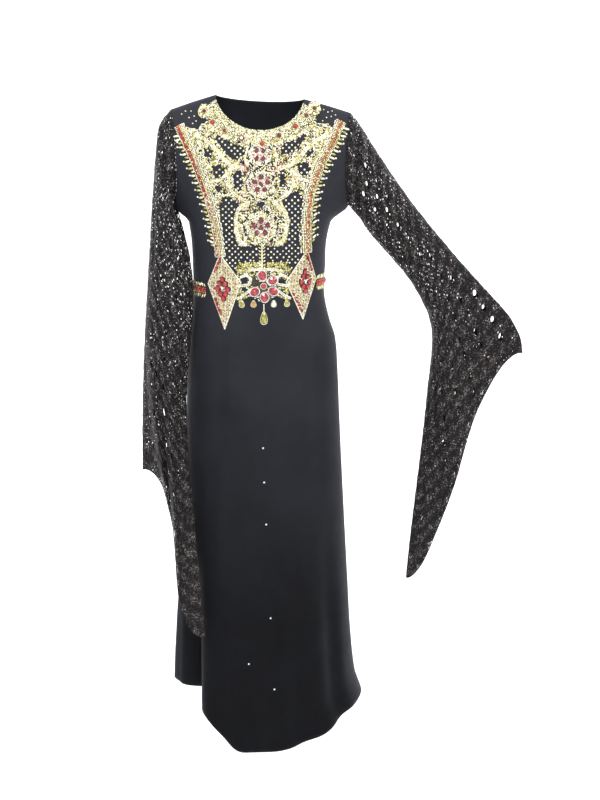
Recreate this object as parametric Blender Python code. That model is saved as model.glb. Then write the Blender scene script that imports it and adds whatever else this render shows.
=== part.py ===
"""A worn kaftan: a long crepe gown with hanging lace sleeves and a beaded front.

Metres, +Z up, +X to the right of someone who looks at the front, +Y to the back of the gown.
The origin lies between the two points where the shoulder seams meet the neckline.
"""

import math
from typing import NamedTuple

import bmesh
import bpy
from mathutils import Vector

# Cloth and seams
CREPE = 0.0012
LACE = 0.0010
SEAM_GAP = 0.0003
TRIM_GAP = 0.0008
TRIM_BACKING = 0.0012

# Neckline and shoulders
NECK_LEFT = (-0.095, 0.004)
NECK_RIGHT = (0.092, -0.005)
NECK_FRONT_REACH = 0.088
NECK_FRONT_DROP = 0.067
NECK_BACK_REACH = 0.058
NECK_BACK_DROP = 0.010
NECK_SHARE = 0.5625
NECK_CURVE = 1.15
NECK_LEAN_IN = 0.9
NECK_LEAN_OVER_FRONT = 0.35
NECK_LEAN_OVER_BACK = 0.75
SEAM_LEAN_OVER = 0.6
TIP_LEAN_OVER = 1.0
SEAM_LEAN_UP = 0.35
TIP_LEAN_UP = 0.30
TIP_LEFT = (-0.192, -0.027)
TIP_RIGHT = (0.192, -0.034)
SHOULDER_RISE = 0.001

# Armholes
ARMHOLE_FOOT_LEFT = (-0.188, -0.230)
ARMHOLE_FOOT_RIGHT = (0.190, -0.229)
ARMHOLE_BOW = 0.011
ARMHOLE_DEPTH = 0.052
ARMHOLE_TAPER = 0.25

# Body
UNDERARM = -0.230
UNDERARM_REACH = 0.028
UNDERARM_FADE = 0.036
UNDERARM_SHARPNESS = 15
UNDERARM_LEAD = 0.030
YOKE_SHARPNESS = 3
HIP_LEVEL = -0.520
SIDE_HEM = -1.360
HEM_DROP_START = -0.700
FOLD_ROUNDNESS = 1.2
FRONT_WAIST_ROWS = 10
BACK_WAIST_ROWS = 6
FRONT_COLUMNS = 32
FRONT_FLAT_ROWS = 19
FRONT_YOKE_ROWS = 9
BACK_COLUMNS = 24
BACK_FLAT_ROWS = 15
BACK_YOKE_ROWS = 9
FRONT = -1
BACK = 1


class Band(NamedTuple):
    """One band of a panel or a sleeve, a node of its own, between two rows of the piece's grid."""

    name: str
    bottom: int
    top: int


FRONT_BANDS = (
    Band("front_hem", 0, 4),
    Band("front_skirt", 4, 9),
    Band("front_waist", 9, 19),
    Band("front_yoke", 19, 28),
)
BACK_BANDS = (
    Band("back_hem", 0, 4),
    Band("back_skirt", 4, 9),
    Band("back_waist", 9, 15),
    Band("back_yoke", 15, 24),
)


class Girth(NamedTuple):
    """One level of the body: how far it reaches each way from the upright through the origin."""

    height: float
    left: float
    right: float
    front: float
    back: float


GIRTHS = (
    Girth(-1.420, 0.201, 0.240, 0.200, 0.190),
    Girth(-1.360, 0.198, 0.228, 0.186, 0.180),
    Girth(-1.310, 0.196, 0.212, 0.175, 0.172),
    Girth(-1.200, 0.193, 0.200, 0.156, 0.160),
    Girth(-1.080, 0.189, 0.193, 0.141, 0.150),
    Girth(-0.850, 0.178, 0.180, 0.122, 0.134),
    Girth(-0.690, 0.170, 0.172, 0.113, 0.128),
    Girth(-0.600, 0.166, 0.168, 0.109, 0.123),
    Girth(-0.520, 0.161, 0.162, 0.103, 0.107),
    Girth(-0.475, 0.155, 0.148, 0.098, 0.094),
    Girth(-0.420, 0.150, 0.137, 0.095, 0.085),
    Girth(-0.360, 0.150, 0.139, 0.101, 0.086),
    Girth(-0.305, 0.152, 0.1415, 0.110, 0.091),
    Girth(-0.255, 0.158, 0.153, 0.115, 0.095),
    Girth(-0.230, 0.162, 0.162, 0.113, 0.097),
)


class HemPoint(NamedTuple):
    """The height of the hem at one turn round the body, in degrees from the front's middle."""

    turn: float
    height: float


HEM = (
    HemPoint(-180, -1.408),
    HemPoint(-140, -1.385),
    HemPoint(-100, -1.322),
    HemPoint(-60, -1.328),
    HemPoint(-40, -1.358),
    HemPoint(-30, -1.395),
    HemPoint(-20, -1.428),
    HemPoint(-10, -1.432),
    HemPoint(0, -1.427),
    HemPoint(30, -1.407),
    HemPoint(60, -1.366),
    HemPoint(90, -1.358),
    HemPoint(135, -1.385),
    HemPoint(180, -1.408),
)


class Fold(NamedTuple):
    """A lengthwise fold of the skirt; turn is measured round from the front's middle, in degrees."""

    turn: float
    spread: float
    depth: float
    top: float


SKIRT_FOLDS = (
    Fold(-59, 16, 0.074, -0.98),
    Fold(-38, 12, -0.010, -0.90),
    Fold(-84, 12, -0.012, -0.98),
    Fold(-8, 16, 0.009, -0.72),
    Fold(24, 15, 0.011, -0.78),
    Fold(52, 13, 0.008, -0.95),
    Fold(108, 16, 0.014, -0.80),
    Fold(140, 13, 0.016, -0.70),
    Fold(168, 12, 0.014, -0.62),
    Fold(-162, 14, 0.018, -0.66),
    Fold(-132, 13, 0.014, -0.75),
    Fold(-108, 12, 0.012, -0.90),
)


class SleeveRow(NamedTuple):
    """One section of a sleeve, from the armhole to the hem: its top and its underarm end."""

    share: float
    top_x: float
    top_y: float
    top_z: float
    under_x: float
    under_y: float
    under_z: float
    depth: float
    bow: float
    swing: float


RIGHT_SLEEVE = (
    SleeveRow(0.000, 0.192, 0.000, -0.034, 0.190, 0.000, -0.229, 0.052, -0.011, 0.000),
    SleeveRow(0.060, 0.213, -0.001, -0.060, 0.214, -0.001, -0.258, 0.053, -0.003, 0.000),
    SleeveRow(0.125, 0.238, -0.004, -0.099, 0.234, -0.003, -0.288, 0.053, 0.000, 0.000),
    SleeveRow(0.250, 0.283, -0.010, -0.165, 0.281, -0.009, -0.340, 0.051, 0.000, 0.000),
    SleeveRow(0.375, 0.330, -0.016, -0.229, 0.333, -0.018, -0.405, 0.048, 0.000, 0.000),
    SleeveRow(0.500, 0.382, -0.024, -0.292, 0.372, -0.030, -0.497, 0.045, 0.000, 0.000),
    SleeveRow(0.625, 0.436, -0.034, -0.354, 0.364, -0.040, -0.635, 0.041, 0.000, -0.002),
    SleeveRow(0.750, 0.490, -0.044, -0.412, 0.350, -0.050, -0.780, 0.037, -0.003, -0.008),
    SleeveRow(0.875, 0.537, -0.054, -0.464, 0.336, -0.057, -0.912, 0.034, -0.006, -0.013),
    SleeveRow(0.950, 0.562, -0.058, -0.510, 0.328, -0.059, -0.995, 0.033, -0.011, -0.020),
    SleeveRow(1.000, 0.568, -0.060, -0.545, 0.323, -0.060, -1.060, 0.032, -0.014, -0.026),
)
LEFT_SLEEVE = (
    SleeveRow(0.000, -0.192, 0.000, -0.027, -0.188, 0.000, -0.230, 0.052, -0.011, 0.000),
    SleeveRow(0.060, -0.215, -0.002, -0.058, -0.186, -0.014, -0.260, 0.053, 0.000, 0.000),
    SleeveRow(0.125, -0.224, -0.005, -0.110, -0.161, -0.044, -0.304, 0.054, 0.000, 0.000),
    SleeveRow(0.250, -0.233, -0.012, -0.208, -0.149, -0.046, -0.370, 0.056, 0.000, 0.000),
    SleeveRow(0.375, -0.240, -0.024, -0.308, -0.146, -0.058, -0.440, 0.058, 0.000, 0.000),
    SleeveRow(0.500, -0.247, -0.036, -0.409, -0.154, -0.064, -0.530, 0.060, 0.000, 0.000),
    SleeveRow(0.625, -0.254, -0.047, -0.508, -0.163, -0.076, -0.645, 0.060, 0.000, -0.002),
    SleeveRow(0.750, -0.259, -0.056, -0.607, -0.158, -0.098, -0.776, 0.056, -0.001, -0.006),
    SleeveRow(0.875, -0.262, -0.066, -0.706, -0.143, -0.136, -0.948, 0.048, -0.003, -0.016),
    SleeveRow(1.000, -0.263, -0.074, -0.803, -0.125, -0.160, -1.160, 0.034, -0.005, -0.029),
)


class Ripple(NamedTuple):
    """A fold that runs down a sleeve from its top towards the hem, in both layers at once."""

    across: float
    spread: float
    depth: float
    start: float


RIGHT_RIPPLES = (
    Ripple(0.30, 0.16, 0.010, 0.45),
    Ripple(0.55, 0.18, -0.013, 0.40),
    Ripple(0.80, 0.14, 0.010, 0.35),
)
LEFT_RIPPLES = (
    Ripple(0.22, 0.14, -0.011, 0.30),
    Ripple(0.45, 0.16, 0.014, 0.25),
    Ripple(0.70, 0.16, -0.013, 0.35),
)

SLEEVE_COLUMNS = 9
SLEEVE_ROWS = 16
RIGHT_BANDS = (Band("", 0, 16),)
LEFT_BANDS = (Band("_upper", 0, 5), Band("_middle", 5, 10), Band("_lower", 10, 16))
SLEEVE_TAPER = 0.45
LACE_GAP_LEAST = 0.0075
LACE_GAP_MOST = 0.0120
LACE_GAP_SHARE = 0.30
LACE_GAPS_A_HALF = 56


class Ring(NamedTuple):
    """One ring of a bead motif: its share of the radius, and how high it and its petals stand."""

    share: float
    rise: float
    petal: float


ROSETTE_RINGS = (
    Ring(0.20, 0.0018, 0.0000),
    Ring(0.42, 0.0000, 0.0030),
    Ring(0.66, 0.0000, 0.0022),
    Ring(1.00, 0.0000, 0.0000),
)
DIAMOND_RINGS = (
    Ring(0.24, 0.0035, 0.0000),
    Ring(0.42, 0.0004, 0.0000),
    Ring(0.74, 0.0014, 0.0000),
    Ring(1.00, 0.0000, 0.0000),
)
DROP_RINGS = (Ring(0.60, 0.0022, 0.0000), Ring(1.00, 0.0000, 0.0000))


class Rosette(NamedTuple):
    """A round motif with a middle stone and petal stones, placed by the front's x and z."""

    name: str
    x: float
    z: float
    radius: float
    stones: float


ROSETTES = (
    Rosette("rosette_upper", 0.001, -0.1165, 0.0250, 1.0),
    Rosette("rosette_middle", 0.003, -0.1770, 0.0300, 1.0),
    Rosette("rosette_lower", 0.002, -0.2660, 0.0340, 1.0),
    Rosette("belt_flower", 0.006, -0.3920, 0.0320, 1.7),
)
PETALS = 5
SECTORS_A_PETAL = 4
ROSETTE_RISE = 0.0030


class Diamond(NamedTuple):
    """A pointed bead plate of the belt, by the x and z of its corners."""

    name: str
    top: tuple
    left: tuple
    bottom: tuple
    right: tuple


DIAMONDS = (
    Diamond("belt_diamond_left", (-0.085, -0.325), (-0.113, -0.391), (-0.077, -0.487), (-0.041, -0.384)),
    Diamond("belt_diamond_right", (0.099, -0.317), (0.054, -0.384), (0.090, -0.467), (0.118, -0.382)),
)
DIAMOND_SECTORS_A_SIDE = 4
DIAMOND_RISE = 0.0045


class Drop(NamedTuple):
    """A drop-shaped stone of the belt, by its middle and its half sizes."""

    name: str
    x: float
    z: float
    half_width: float
    half_height: float


DROPS = (
    Drop("belt_drop_1", -0.040, -0.431, 0.0055, 0.0080),
    Drop("belt_drop_2", -0.015, -0.4305, 0.0055, 0.0075),
    Drop("belt_drop_3", 0.028, -0.4305, 0.0055, 0.0075),
    Drop("belt_drop_4", 0.056, -0.430, 0.0055, 0.0080),
    Drop("belt_pendant", 0.007, -0.461, 0.0075, 0.0140),
)
DROP_SECTORS = 10
DROP_RISE = 0.0030

NECK_BAND_TURN = 75
NECK_BAND_STEPS = 20
NECK_BAND_INSET = 0.0020
NECK_BAND_SIDE_WIDTH = 0.025
NECK_BAND_FRONT_WIDTH = 0.0205
NECK_BAND_END_DROP = 0.016
NECK_BAND_RIDGE = 0.0016

V_BAND_LEFT = (
    (-0.170, -0.060), (-0.153, -0.095), (-0.129, -0.147), (-0.104, -0.215), (-0.089, -0.282), (-0.084, -0.316),
)
V_BAND_RIGHT = (
    (0.170, -0.052), (0.150, -0.095), (0.124, -0.143), (0.105, -0.197), (0.098, -0.261), (0.095, -0.308),
)
V_BAND_STEPS = 20
V_BAND_HALF = 0.0115
V_BAND_RIDGE = 0.0016

STRAP_LEFT_TURNS = (-86.0, -51.5)
STRAP_RIGHT_TURNS = (61.5, 86.0)
STRAP_LEFT_LEVELS = (-0.405, -0.407)
STRAP_RIGHT_LEVELS = (-0.392, -0.391)
STRAP_HALF = 0.0085
STRAP_STEPS = 6
STRAP_RIDGE = 0.0016


class Finish(NamedTuple):
    """The colour, roughness and metallic value of one material."""

    name: str
    colour: tuple
    roughness: float
    metallic: float


CREPE_FINISH = Finish("black_crepe", (0.018, 0.019, 0.024), 0.75, 0.0)
LACE_FINISH = Finish("black_lace", (0.014, 0.013, 0.013), 0.70, 0.0)
GOLD_FINISH = Finish("gold_beads", (0.72, 0.60, 0.30), 0.35, 0.6)
RED_FINISH = Finish("red_stones", (0.45, 0.02, 0.03), 0.15, 0.0)
AMBER_FINISH = Finish("amber_drop", (0.50, 0.38, 0.06), 0.15, 0.0)


def blend(rows: tuple, key: str, value: float) -> tuple:
    """Read a table of rows between its lines, along a smooth curve through them."""
    keys = [getattr(row, key) for row in rows]
    last = len(rows) - 1
    below = 0
    while below < last - 1 and value > keys[below + 1]:
        below += 1
    span = keys[below + 1] - keys[below]
    t = min(max((value - keys[below]) / span, 0.0), 1.0)

    def slope(at: int, column: int) -> float:
        low, high = max(at - 1, 0), min(at + 1, last)
        return (rows[high][column] - rows[low][column]) / (keys[high] - keys[low])

    values = []
    for column in range(len(rows[0])):
        start, end = rows[below][column], rows[below + 1][column]
        rise_start, rise_end = slope(below, column) * span, slope(below + 1, column) * span
        values.append(
            start * (2 * t**3 - 3 * t**2 + 1) + rise_start * (t**3 - 2 * t**2 + t)
            + end * (3 * t**2 - 2 * t**3) + rise_end * (t**3 - t**2)
        )
    return type(rows[0])(*values)


def ease(t: float) -> float:
    """Rise smoothly from 0 at 0 to 1 at 1."""
    t = min(max(t, 0.0), 1.0)
    return t * t * (3 - 2 * t)


def hump(distance: float, spread: float) -> float:
    """A rounded hump, 1 in its middle and 0 from the spread outwards."""
    t = min(abs(distance) / spread, 1.0)
    return (0.5 + 0.5 * math.cos(math.pi * t)) ** FOLD_ROUNDNESS


def skirt_folds(turn: float, height: float) -> float:
    """How far the skirt's folds press the cloth in at a turn, in degrees, and a height."""
    total = 0.0
    for fold in SKIRT_FOLDS:
        away = (turn - fold.turn + 180) % 360 - 180
        total += fold.depth * hump(away, fold.spread) * ease((fold.top - height) / (fold.top - SIDE_HEM))
    return total


def body_point(turn: float, height: float, face: int, reach: float = UNDERARM_REACH) -> Vector:
    """A point of the body below the underarm; turn runs from -90 at the left seam to 90."""
    girth = blend(GIRTHS, "height", height)
    middle = (girth.right - girth.left) / 2
    half = (girth.right + girth.left) / 2
    across = math.sin(math.radians(turn))
    towards = math.cos(math.radians(turn))
    flare = reach * (1 - ease((UNDERARM - height) / UNDERARM_FADE))
    deep = girth.front if face == FRONT else girth.back
    around = turn if face == FRONT else 180 - turn
    point = Vector((middle + half * across, face * deep * towards, 0.0))
    pull = skirt_folds(around, height)
    point *= 1 - pull / point.length
    point.x += flare * across**UNDERARM_SHARPNESS
    point.y += face * SEAM_GAP / 2
    low = ease((HEM_DROP_START - height) / (HEM_DROP_START - SIDE_HEM))
    hem = blend(HEM, "turn", (around + 180) % 360 - 180)
    point.z = height + low * (hem.height - SIDE_HEM)
    return point


def armhole_point(side: int, share: float, face: int, out: float = 0.0) -> Vector:
    """A point of an armhole's edge: share runs from 0 at its foot to 1 at the shoulder."""
    top = TIP_LEFT if side < 0 else TIP_RIGHT
    foot = ARMHOLE_FOOT_LEFT if side < 0 else ARMHOLE_FOOT_RIGHT
    angle = math.pi * (1 - share)
    down = (1 - math.cos(angle)) / 2
    bulge = math.sin(angle)
    x = top[0] + (foot[0] - top[0]) * down + side * (out - ARMHOLE_BOW * bulge)
    z = top[1] + (foot[1] - top[1]) * down
    deep = ARMHOLE_DEPTH * bulge * (1 - ARMHOLE_TAPER * down)
    return Vector((x, face * (SEAM_GAP / 2 + deep), z))


def keep_to_side(normal: Vector, side: int, outwards: bool) -> Vector:
    """Tilt a normal at an armhole so that the wall behind it stays on its own side of the seam."""
    sideways = normal.x * side
    held = max(sideways, 0.0) if outwards else min(sideways, 0.0)
    return Vector((held * side, normal.y, normal.z)).normalized()


def top_edge(across: float, face: int) -> Vector:
    """A point of a panel's top edge: shoulder seam, neckline, shoulder seam, from -1 to 1."""
    gap = face * SEAM_GAP / 2
    if abs(across) <= NECK_SHARE:
        turn = math.radians(90 * across / NECK_SHARE)
        share = (1 + math.sin(turn)) / 2
        x = NECK_LEFT[0] + (NECK_RIGHT[0] - NECK_LEFT[0]) * share
        z = NECK_LEFT[1] + (NECK_RIGHT[1] - NECK_LEFT[1]) * share
        reach = NECK_FRONT_REACH if face == FRONT else NECK_BACK_REACH
        drop = NECK_FRONT_DROP if face == FRONT else NECK_BACK_DROP
        towards = max(math.cos(turn), 0.0)
        return Vector((x, gap + face * reach * towards, z - drop * towards**NECK_CURVE))
    along = (abs(across) - NECK_SHARE) / (1 - NECK_SHARE)
    neck, tip = (NECK_LEFT, TIP_LEFT) if across < 0 else (NECK_RIGHT, TIP_RIGHT)
    x = neck[0] + (tip[0] - neck[0]) * along
    z = neck[1] + (tip[1] - neck[1]) * along + SHOULDER_RISE * math.sin(math.pi * along)
    return Vector((x, gap, z))


def arrival(across: float, face: int) -> Vector:
    """The direction in which the cloth reaches its top edge: up, over, and in towards the neck."""
    lean = NECK_LEAN_OVER_FRONT if face == FRONT else NECK_LEAN_OVER_BACK
    side = math.copysign(1.0, across)
    if abs(across) <= NECK_SHARE:
        share = abs(across) / NECK_SHARE
        inwards = NECK_LEAN_IN * share**2
        over = lean + (SEAM_LEAN_OVER - lean) * share
        up = 1.0 + (SEAM_LEAN_UP - 1.0) * share
    else:
        share = (abs(across) - NECK_SHARE) / (1 - NECK_SHARE)
        inwards = NECK_LEAN_IN * (1 - share) ** 2
        over = SEAM_LEAN_OVER + (TIP_LEAN_OVER - SEAM_LEAN_OVER) * share
        up = SEAM_LEAN_UP + (TIP_LEAN_UP - SEAM_LEAN_UP) * share
    return Vector((-side * inwards, -face * over, up)).normalized()


def yoke_point(across: float, rise: float, face: int) -> Vector:
    """A point between the underarm level, at rise 0, and the panel's top edge, at rise 1."""

    def middle(side: float, up: float) -> Vector:
        start = body_point(90 * side, UNDERARM, face)
        below = body_point(90 * side, UNDERARM - UNDERARM_LEAD, face, 0.0)
        level = body_point(90 * side, UNDERARM, face, 0.0)
        end = top_edge(side, face)
        length = (end - start).length
        leave = (level - below).normalized() * length
        arrive = arrival(side, face) * length
        return (
            start * (2 * up**3 - 3 * up**2 + 1) + leave * (up**3 - 2 * up**2 + up)
            + end * (3 * up**2 - 2 * up**3) + arrive * (up**3 - up**2)
        )

    point = middle(across, rise)
    for side in (-1, 1):
        share = max(side * across, 0.0) ** YOKE_SHARPNESS
        point += (armhole_point(side, rise, face) - middle(side, rise)) * share
    return point


def grid_normals(points: list, face: int) -> list:
    """The outward normal at each point of a grid, from the points beside it."""
    rows, columns = len(points), len(points[0])
    normals = []
    for r in range(rows):
        line = []
        for c in range(columns):
            up = points[min(r + 1, rows - 1)][c] - points[max(r - 1, 0)][c]
            along = points[r][min(c + 1, columns - 1)] - points[r][max(c - 1, 0)]
            line.append(up.cross(along).normalized() * face)
        normals.append(line)
    return normals


def flat_across(normal: Vector) -> Vector:
    """The normal without its part along Y, for a seam between a front and a back."""
    return Vector((normal.x, 0.0, normal.z)).normalized()


def level_heights(flat_rows: int, waist_rows: int) -> list:
    """The heights of a panel's rows below the underarm, from the hem up."""
    skirt_rows = flat_rows - waist_rows
    skirt = [SIDE_HEM + (HIP_LEVEL - SIDE_HEM) * n / skirt_rows for n in range(skirt_rows)]
    bodice = [HIP_LEVEL + (UNDERARM - HIP_LEVEL) * n / waist_rows for n in range(waist_rows)]
    return skirt + bodice


def panel_grid(face: int, columns: int, flat_rows: int, yoke_rows: int) -> tuple:
    """The outer points and normals of the front or the back, in rows from hem to shoulder."""
    across = [2 * c / columns - 1 for c in range(columns + 1)]
    waist_rows = FRONT_WAIST_ROWS if face == FRONT else BACK_WAIST_ROWS
    points = [
        [body_point(90 * side, height, face) for side in across]
        for height in level_heights(flat_rows, waist_rows)
    ]
    rises = [n / yoke_rows for n in range(yoke_rows + 1)]
    points += [[yoke_point(side, rise, face) for side in across] for rise in rises]
    for r, rise in enumerate(rises, len(points) - len(rises)):
        points[r][0] = armhole_point(-1, rise, face)
        points[r][-1] = armhole_point(1, rise, face)
    normals = grid_normals(points, face)
    for r, row in enumerate(normals):
        for column, side in ((0, -1), (-1, 1)):
            if r < flat_rows:
                row[column] = flat_across(row[column])
            else:
                row[column] = keep_to_side(row[column], side, True)
    for c, side in enumerate(across):
        if abs(side) >= NECK_SHARE:
            normals[-1][c] = flat_across(normals[-1][c])
    for column in (0, -1):
        normals[flat_rows][column] = flat_across(normals[flat_rows][column])
    return points, normals


def sleeve_point(rows: tuple, ripples: tuple, side: int, share: float, angle: float, face: int) -> Vector:
    """A point of a sleeve; angle runs from 0 at the top fold to pi at the underarm seam."""
    row = blend(rows, "share", share)
    top = Vector((row.top_x, row.top_y, row.top_z))
    under = Vector((row.under_x, row.under_y, row.under_z))
    down = (1 - math.cos(angle)) / 2
    out = Vector((top.z - under.z, 0.0, under.x - top.x)).normalized() * side
    taper = ARMHOLE_TAPER + (SLEEVE_TAPER - ARMHOLE_TAPER) * share
    deep = row.depth * math.sin(angle) * (1 - taper * down)
    point = top.lerp(under, down) + out * (row.bow * math.sin(angle) + row.swing * math.sin(2 * angle))
    for ripple in ripples:
        grown = ease((share - ripple.start) / (1 - ripple.start))
        point.y += ripple.depth * hump(down - ripple.across, ripple.spread) * grown
    point.y += face * (SEAM_GAP / 2 + deep)
    if share == 0.0:
        return armhole_point(side, 1 - angle / math.pi, face, SEAM_GAP * (1 + down))
    return point


def sleeve_grid(rows: tuple, ripples: tuple, side: int, face: int) -> tuple:
    """The outer points and normals of one half of a sleeve, in rows from armhole to hem."""
    angles = [math.pi * c / SLEEVE_COLUMNS for c in range(SLEEVE_COLUMNS + 1)]
    shares = [n / SLEEVE_ROWS for n in range(SLEEVE_ROWS + 1)]
    points = [[sleeve_point(rows, ripples, side, s, a, face) for a in angles] for s in shares]
    normals = grid_normals(points, face * side)
    for row in normals:
        for column in (0, -1):
            row[column] = flat_across(row[column])
    normals[0] = [keep_to_side(normal, side, False) for normal in normals[0]]
    return points, normals


def wave(seed: float) -> float:
    """A repeatable number from 0 to 1 that looks like chance."""
    value = math.sin(seed * 12.9898) * 43758.5453
    return value - math.floor(value)


def lace_gap(corners: list, seed: int) -> list:
    """The four places, as shares of a cell, of one gap in the lace.

    Args:
        corners: the cell's four outer points, in order round it.
        seed: the cell's number, which sets the gap's size, place and tilt.
    """
    width = ((corners[1] - corners[0]).length + (corners[2] - corners[3]).length) / 2
    height = ((corners[3] - corners[0]).length + (corners[2] - corners[1]).length) / 2
    size = LACE_GAP_LEAST + (LACE_GAP_MOST - LACE_GAP_LEAST) * wave(seed + 0.3)
    middle_a = 0.5 + 0.16 * (wave(seed + 0.7) - 0.5)
    middle_b = 0.5 + 0.30 * (wave(seed + 1.9) - 0.5)
    tilt = 0.9 * (wave(seed + 2.3) - 0.5)
    places = []
    for turn in (225, 315, 45, 135):
        angle = math.radians(turn) + tilt
        half_a = min(size / 2 / width, LACE_GAP_SHARE) * math.sqrt(2)
        half_b = min(size * 0.65 / height, LACE_GAP_SHARE) * math.sqrt(2)
        places.append((middle_a + half_a * math.cos(angle), middle_b + half_b * math.sin(angle)))
    return places


def cell_mix(corners: list, a: float, b: float) -> Vector:
    """The point at shares a along and b up a cell of four corners."""
    low = corners[0].lerp(corners[1], a)
    high = corners[3].lerp(corners[2], a)
    return low.lerp(high, b)


def chosen_cells(points: list, wanted: int) -> set:
    """The cells of a lace grid that carry a gap: the largest ones, away from the seams."""
    sizes = []
    for r in range(1, len(points) - 2):
        for c in range(1, len(points[0]) - 2):
            across = (points[r][c + 1] - points[r][c]).length
            along = (points[r + 1][c] - points[r][c]).length
            sizes.append((min(across, along), r, c))
    sizes.sort(reverse=True)
    return {(r, c) for _, r, c in sizes[:wanted]}


def moved_along(points: list, normals: list, distance: float) -> list:
    """A grid of points, each moved along its normal."""
    return [
        [point + normal * distance for point, normal in zip(row, line)]
        for row, line in zip(points, normals)
    ]


def wall(points: list, inside: list, gaps: dict | None = None) -> bmesh.types.BMesh:
    """A closed wall between two grids of points, with rims along every edge and gap.

    Args:
        points: the outer points, in rows.
        inside: the inner points, in rows.
        gaps: the number of each cell that has a gap, by the cell's row and column.
    """
    gaps = gaps or {}
    bm = bmesh.new()
    rows, columns = len(points), len(points[0])
    outer = [[bm.verts.new(point) for point in row] for row in points]
    inner = [[bm.verts.new(point) for point in row] for row in inside]
    for r in range(rows - 1):
        for c in range(columns - 1):
            corners = ((r, c), (r, c + 1), (r + 1, c + 1), (r + 1, c))
            rings = []
            for layer in (outer, inner):
                ring = [layer[i][j] for i, j in corners]
                if (r, c) in gaps:
                    places = lace_gap([points[i][j] for i, j in corners], gaps[r, c])
                    spots = [vert.co.copy() for vert in ring]
                    hole = [bm.verts.new(cell_mix(spots, a, b)) for a, b in places]
                    for n in range(4):
                        bm.faces.new((ring[n], ring[(n + 1) % 4], hole[(n + 1) % 4], hole[n]))
                    rings.append(hole)
                else:
                    bm.faces.new((ring[0], ring[1], ring[2]))
                    bm.faces.new((ring[0], ring[2], ring[3]))
            if rings:
                for n in range(4):
                    after = (n + 1) % 4
                    bm.faces.new((rings[0][n], rings[0][after], rings[1][after], rings[1][n]))
    for c in range(columns - 1):
        for r in (0, rows - 1):
            bm.faces.new((outer[r][c], outer[r][c + 1], inner[r][c + 1], inner[r][c]))
    for r in range(rows - 1):
        for c in (0, columns - 1):
            bm.faces.new((outer[r][c], outer[r + 1][c], inner[r + 1][c], inner[r][c]))
    bmesh.ops.recalc_face_normals(bm, faces=bm.faces)
    return bm


def finish_material(finish: Finish) -> bpy.types.Material:
    """A Principled material with the finish's values."""
    material = bpy.data.materials.new(finish.name)
    material.use_nodes = True
    shader = material.node_tree.nodes["Principled BSDF"]
    shader.inputs["Base Color"].default_value = (*finish.colour, 1.0)
    shader.inputs["Roughness"].default_value = finish.roughness
    shader.inputs["Metallic"].default_value = finish.metallic
    return material


def add_piece(name: str, bm: bmesh.types.BMesh, finish: Finish, collection: bpy.types.Collection) -> None:
    """Turn a built mesh into a named object with its own material."""
    mesh = bpy.data.meshes.new(name)
    bm.to_mesh(mesh)
    bm.free()
    mesh.shade_smooth()
    mesh.set_sharp_from_angle(angle=math.radians(50))
    mesh.materials.append(finish_material(finish))
    collection.objects.link(bpy.data.objects.new(name, mesh))


def drawn_in(row: list, towards: list) -> list:
    """A row of points moved half a seam's gap towards the row beside it, square to its own line."""
    last = len(row) - 1
    moved = []
    for c, point in enumerate(row):
        line = Vector((0.0, 1.0, 0.0)) if c in (0, last) else (row[c + 1] - row[c - 1]).normalized()
        along = towards[c] - point
        moved.append(point + (along - line * along.dot(line)).normalized() * (SEAM_GAP / 2))
    return moved


def band_rows(grid: list, band: Band) -> list:
    """The rows of one band of a grid, with half a seam's gap left towards the bands beside it."""
    rows = grid[band.bottom:band.top + 1]
    first = drawn_in(rows[0], rows[1]) if band.bottom > 0 else rows[0]
    last = drawn_in(rows[-1], rows[-2]) if band.top < len(grid) - 1 else rows[-1]
    return [first, *rows[1:-1], last]


def add_body(collection: bpy.types.Collection) -> "FrontMap":
    """Build the front and the back in bands, and return the map of the front's outside."""
    front = panel_grid(FRONT, FRONT_COLUMNS, FRONT_FLAT_ROWS, FRONT_YOKE_ROWS)
    back = panel_grid(BACK, BACK_COLUMNS, BACK_FLAT_ROWS, BACK_YOKE_ROWS)
    for bands, (points, normals) in ((FRONT_BANDS, front), (BACK_BANDS, back)):
        inside = moved_along(points, normals, -CREPE)
        for band in bands:
            piece = wall(band_rows(points, band), band_rows(inside, band))
            add_piece(band.name, piece, CREPE_FINISH, collection)
    return FrontMap(*front)


def add_sleeves(collection: bpy.types.Collection) -> None:
    """Build both sleeves, each in a front and a back half, with the larger gaps cut through."""
    sleeves = (
        ("right", 1, RIGHT_SLEEVE, RIGHT_RIPPLES, RIGHT_BANDS),
        ("left", -1, LEFT_SLEEVE, LEFT_RIPPLES, LEFT_BANDS),
    )
    for word, side, rows, ripples, bands in sleeves:
        for half, face in (("front", FRONT), ("back", BACK)):
            points, normals = sleeve_grid(rows, ripples, side, face)
            inside = moved_along(points, normals, -LACE)
            cells = chosen_cells(points, LACE_GAPS_A_HALF)
            for band in bands:
                gaps = {
                    (r - band.bottom, c): r * len(points[0]) + c
                    for r, c in cells if band.bottom <= r < band.top
                }
                piece = wall(band_rows(points, band), band_rows(inside, band), gaps)
                add_piece(f"sleeve_{word}_{half}{band.name}", piece, LACE_FINISH, collection)


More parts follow.
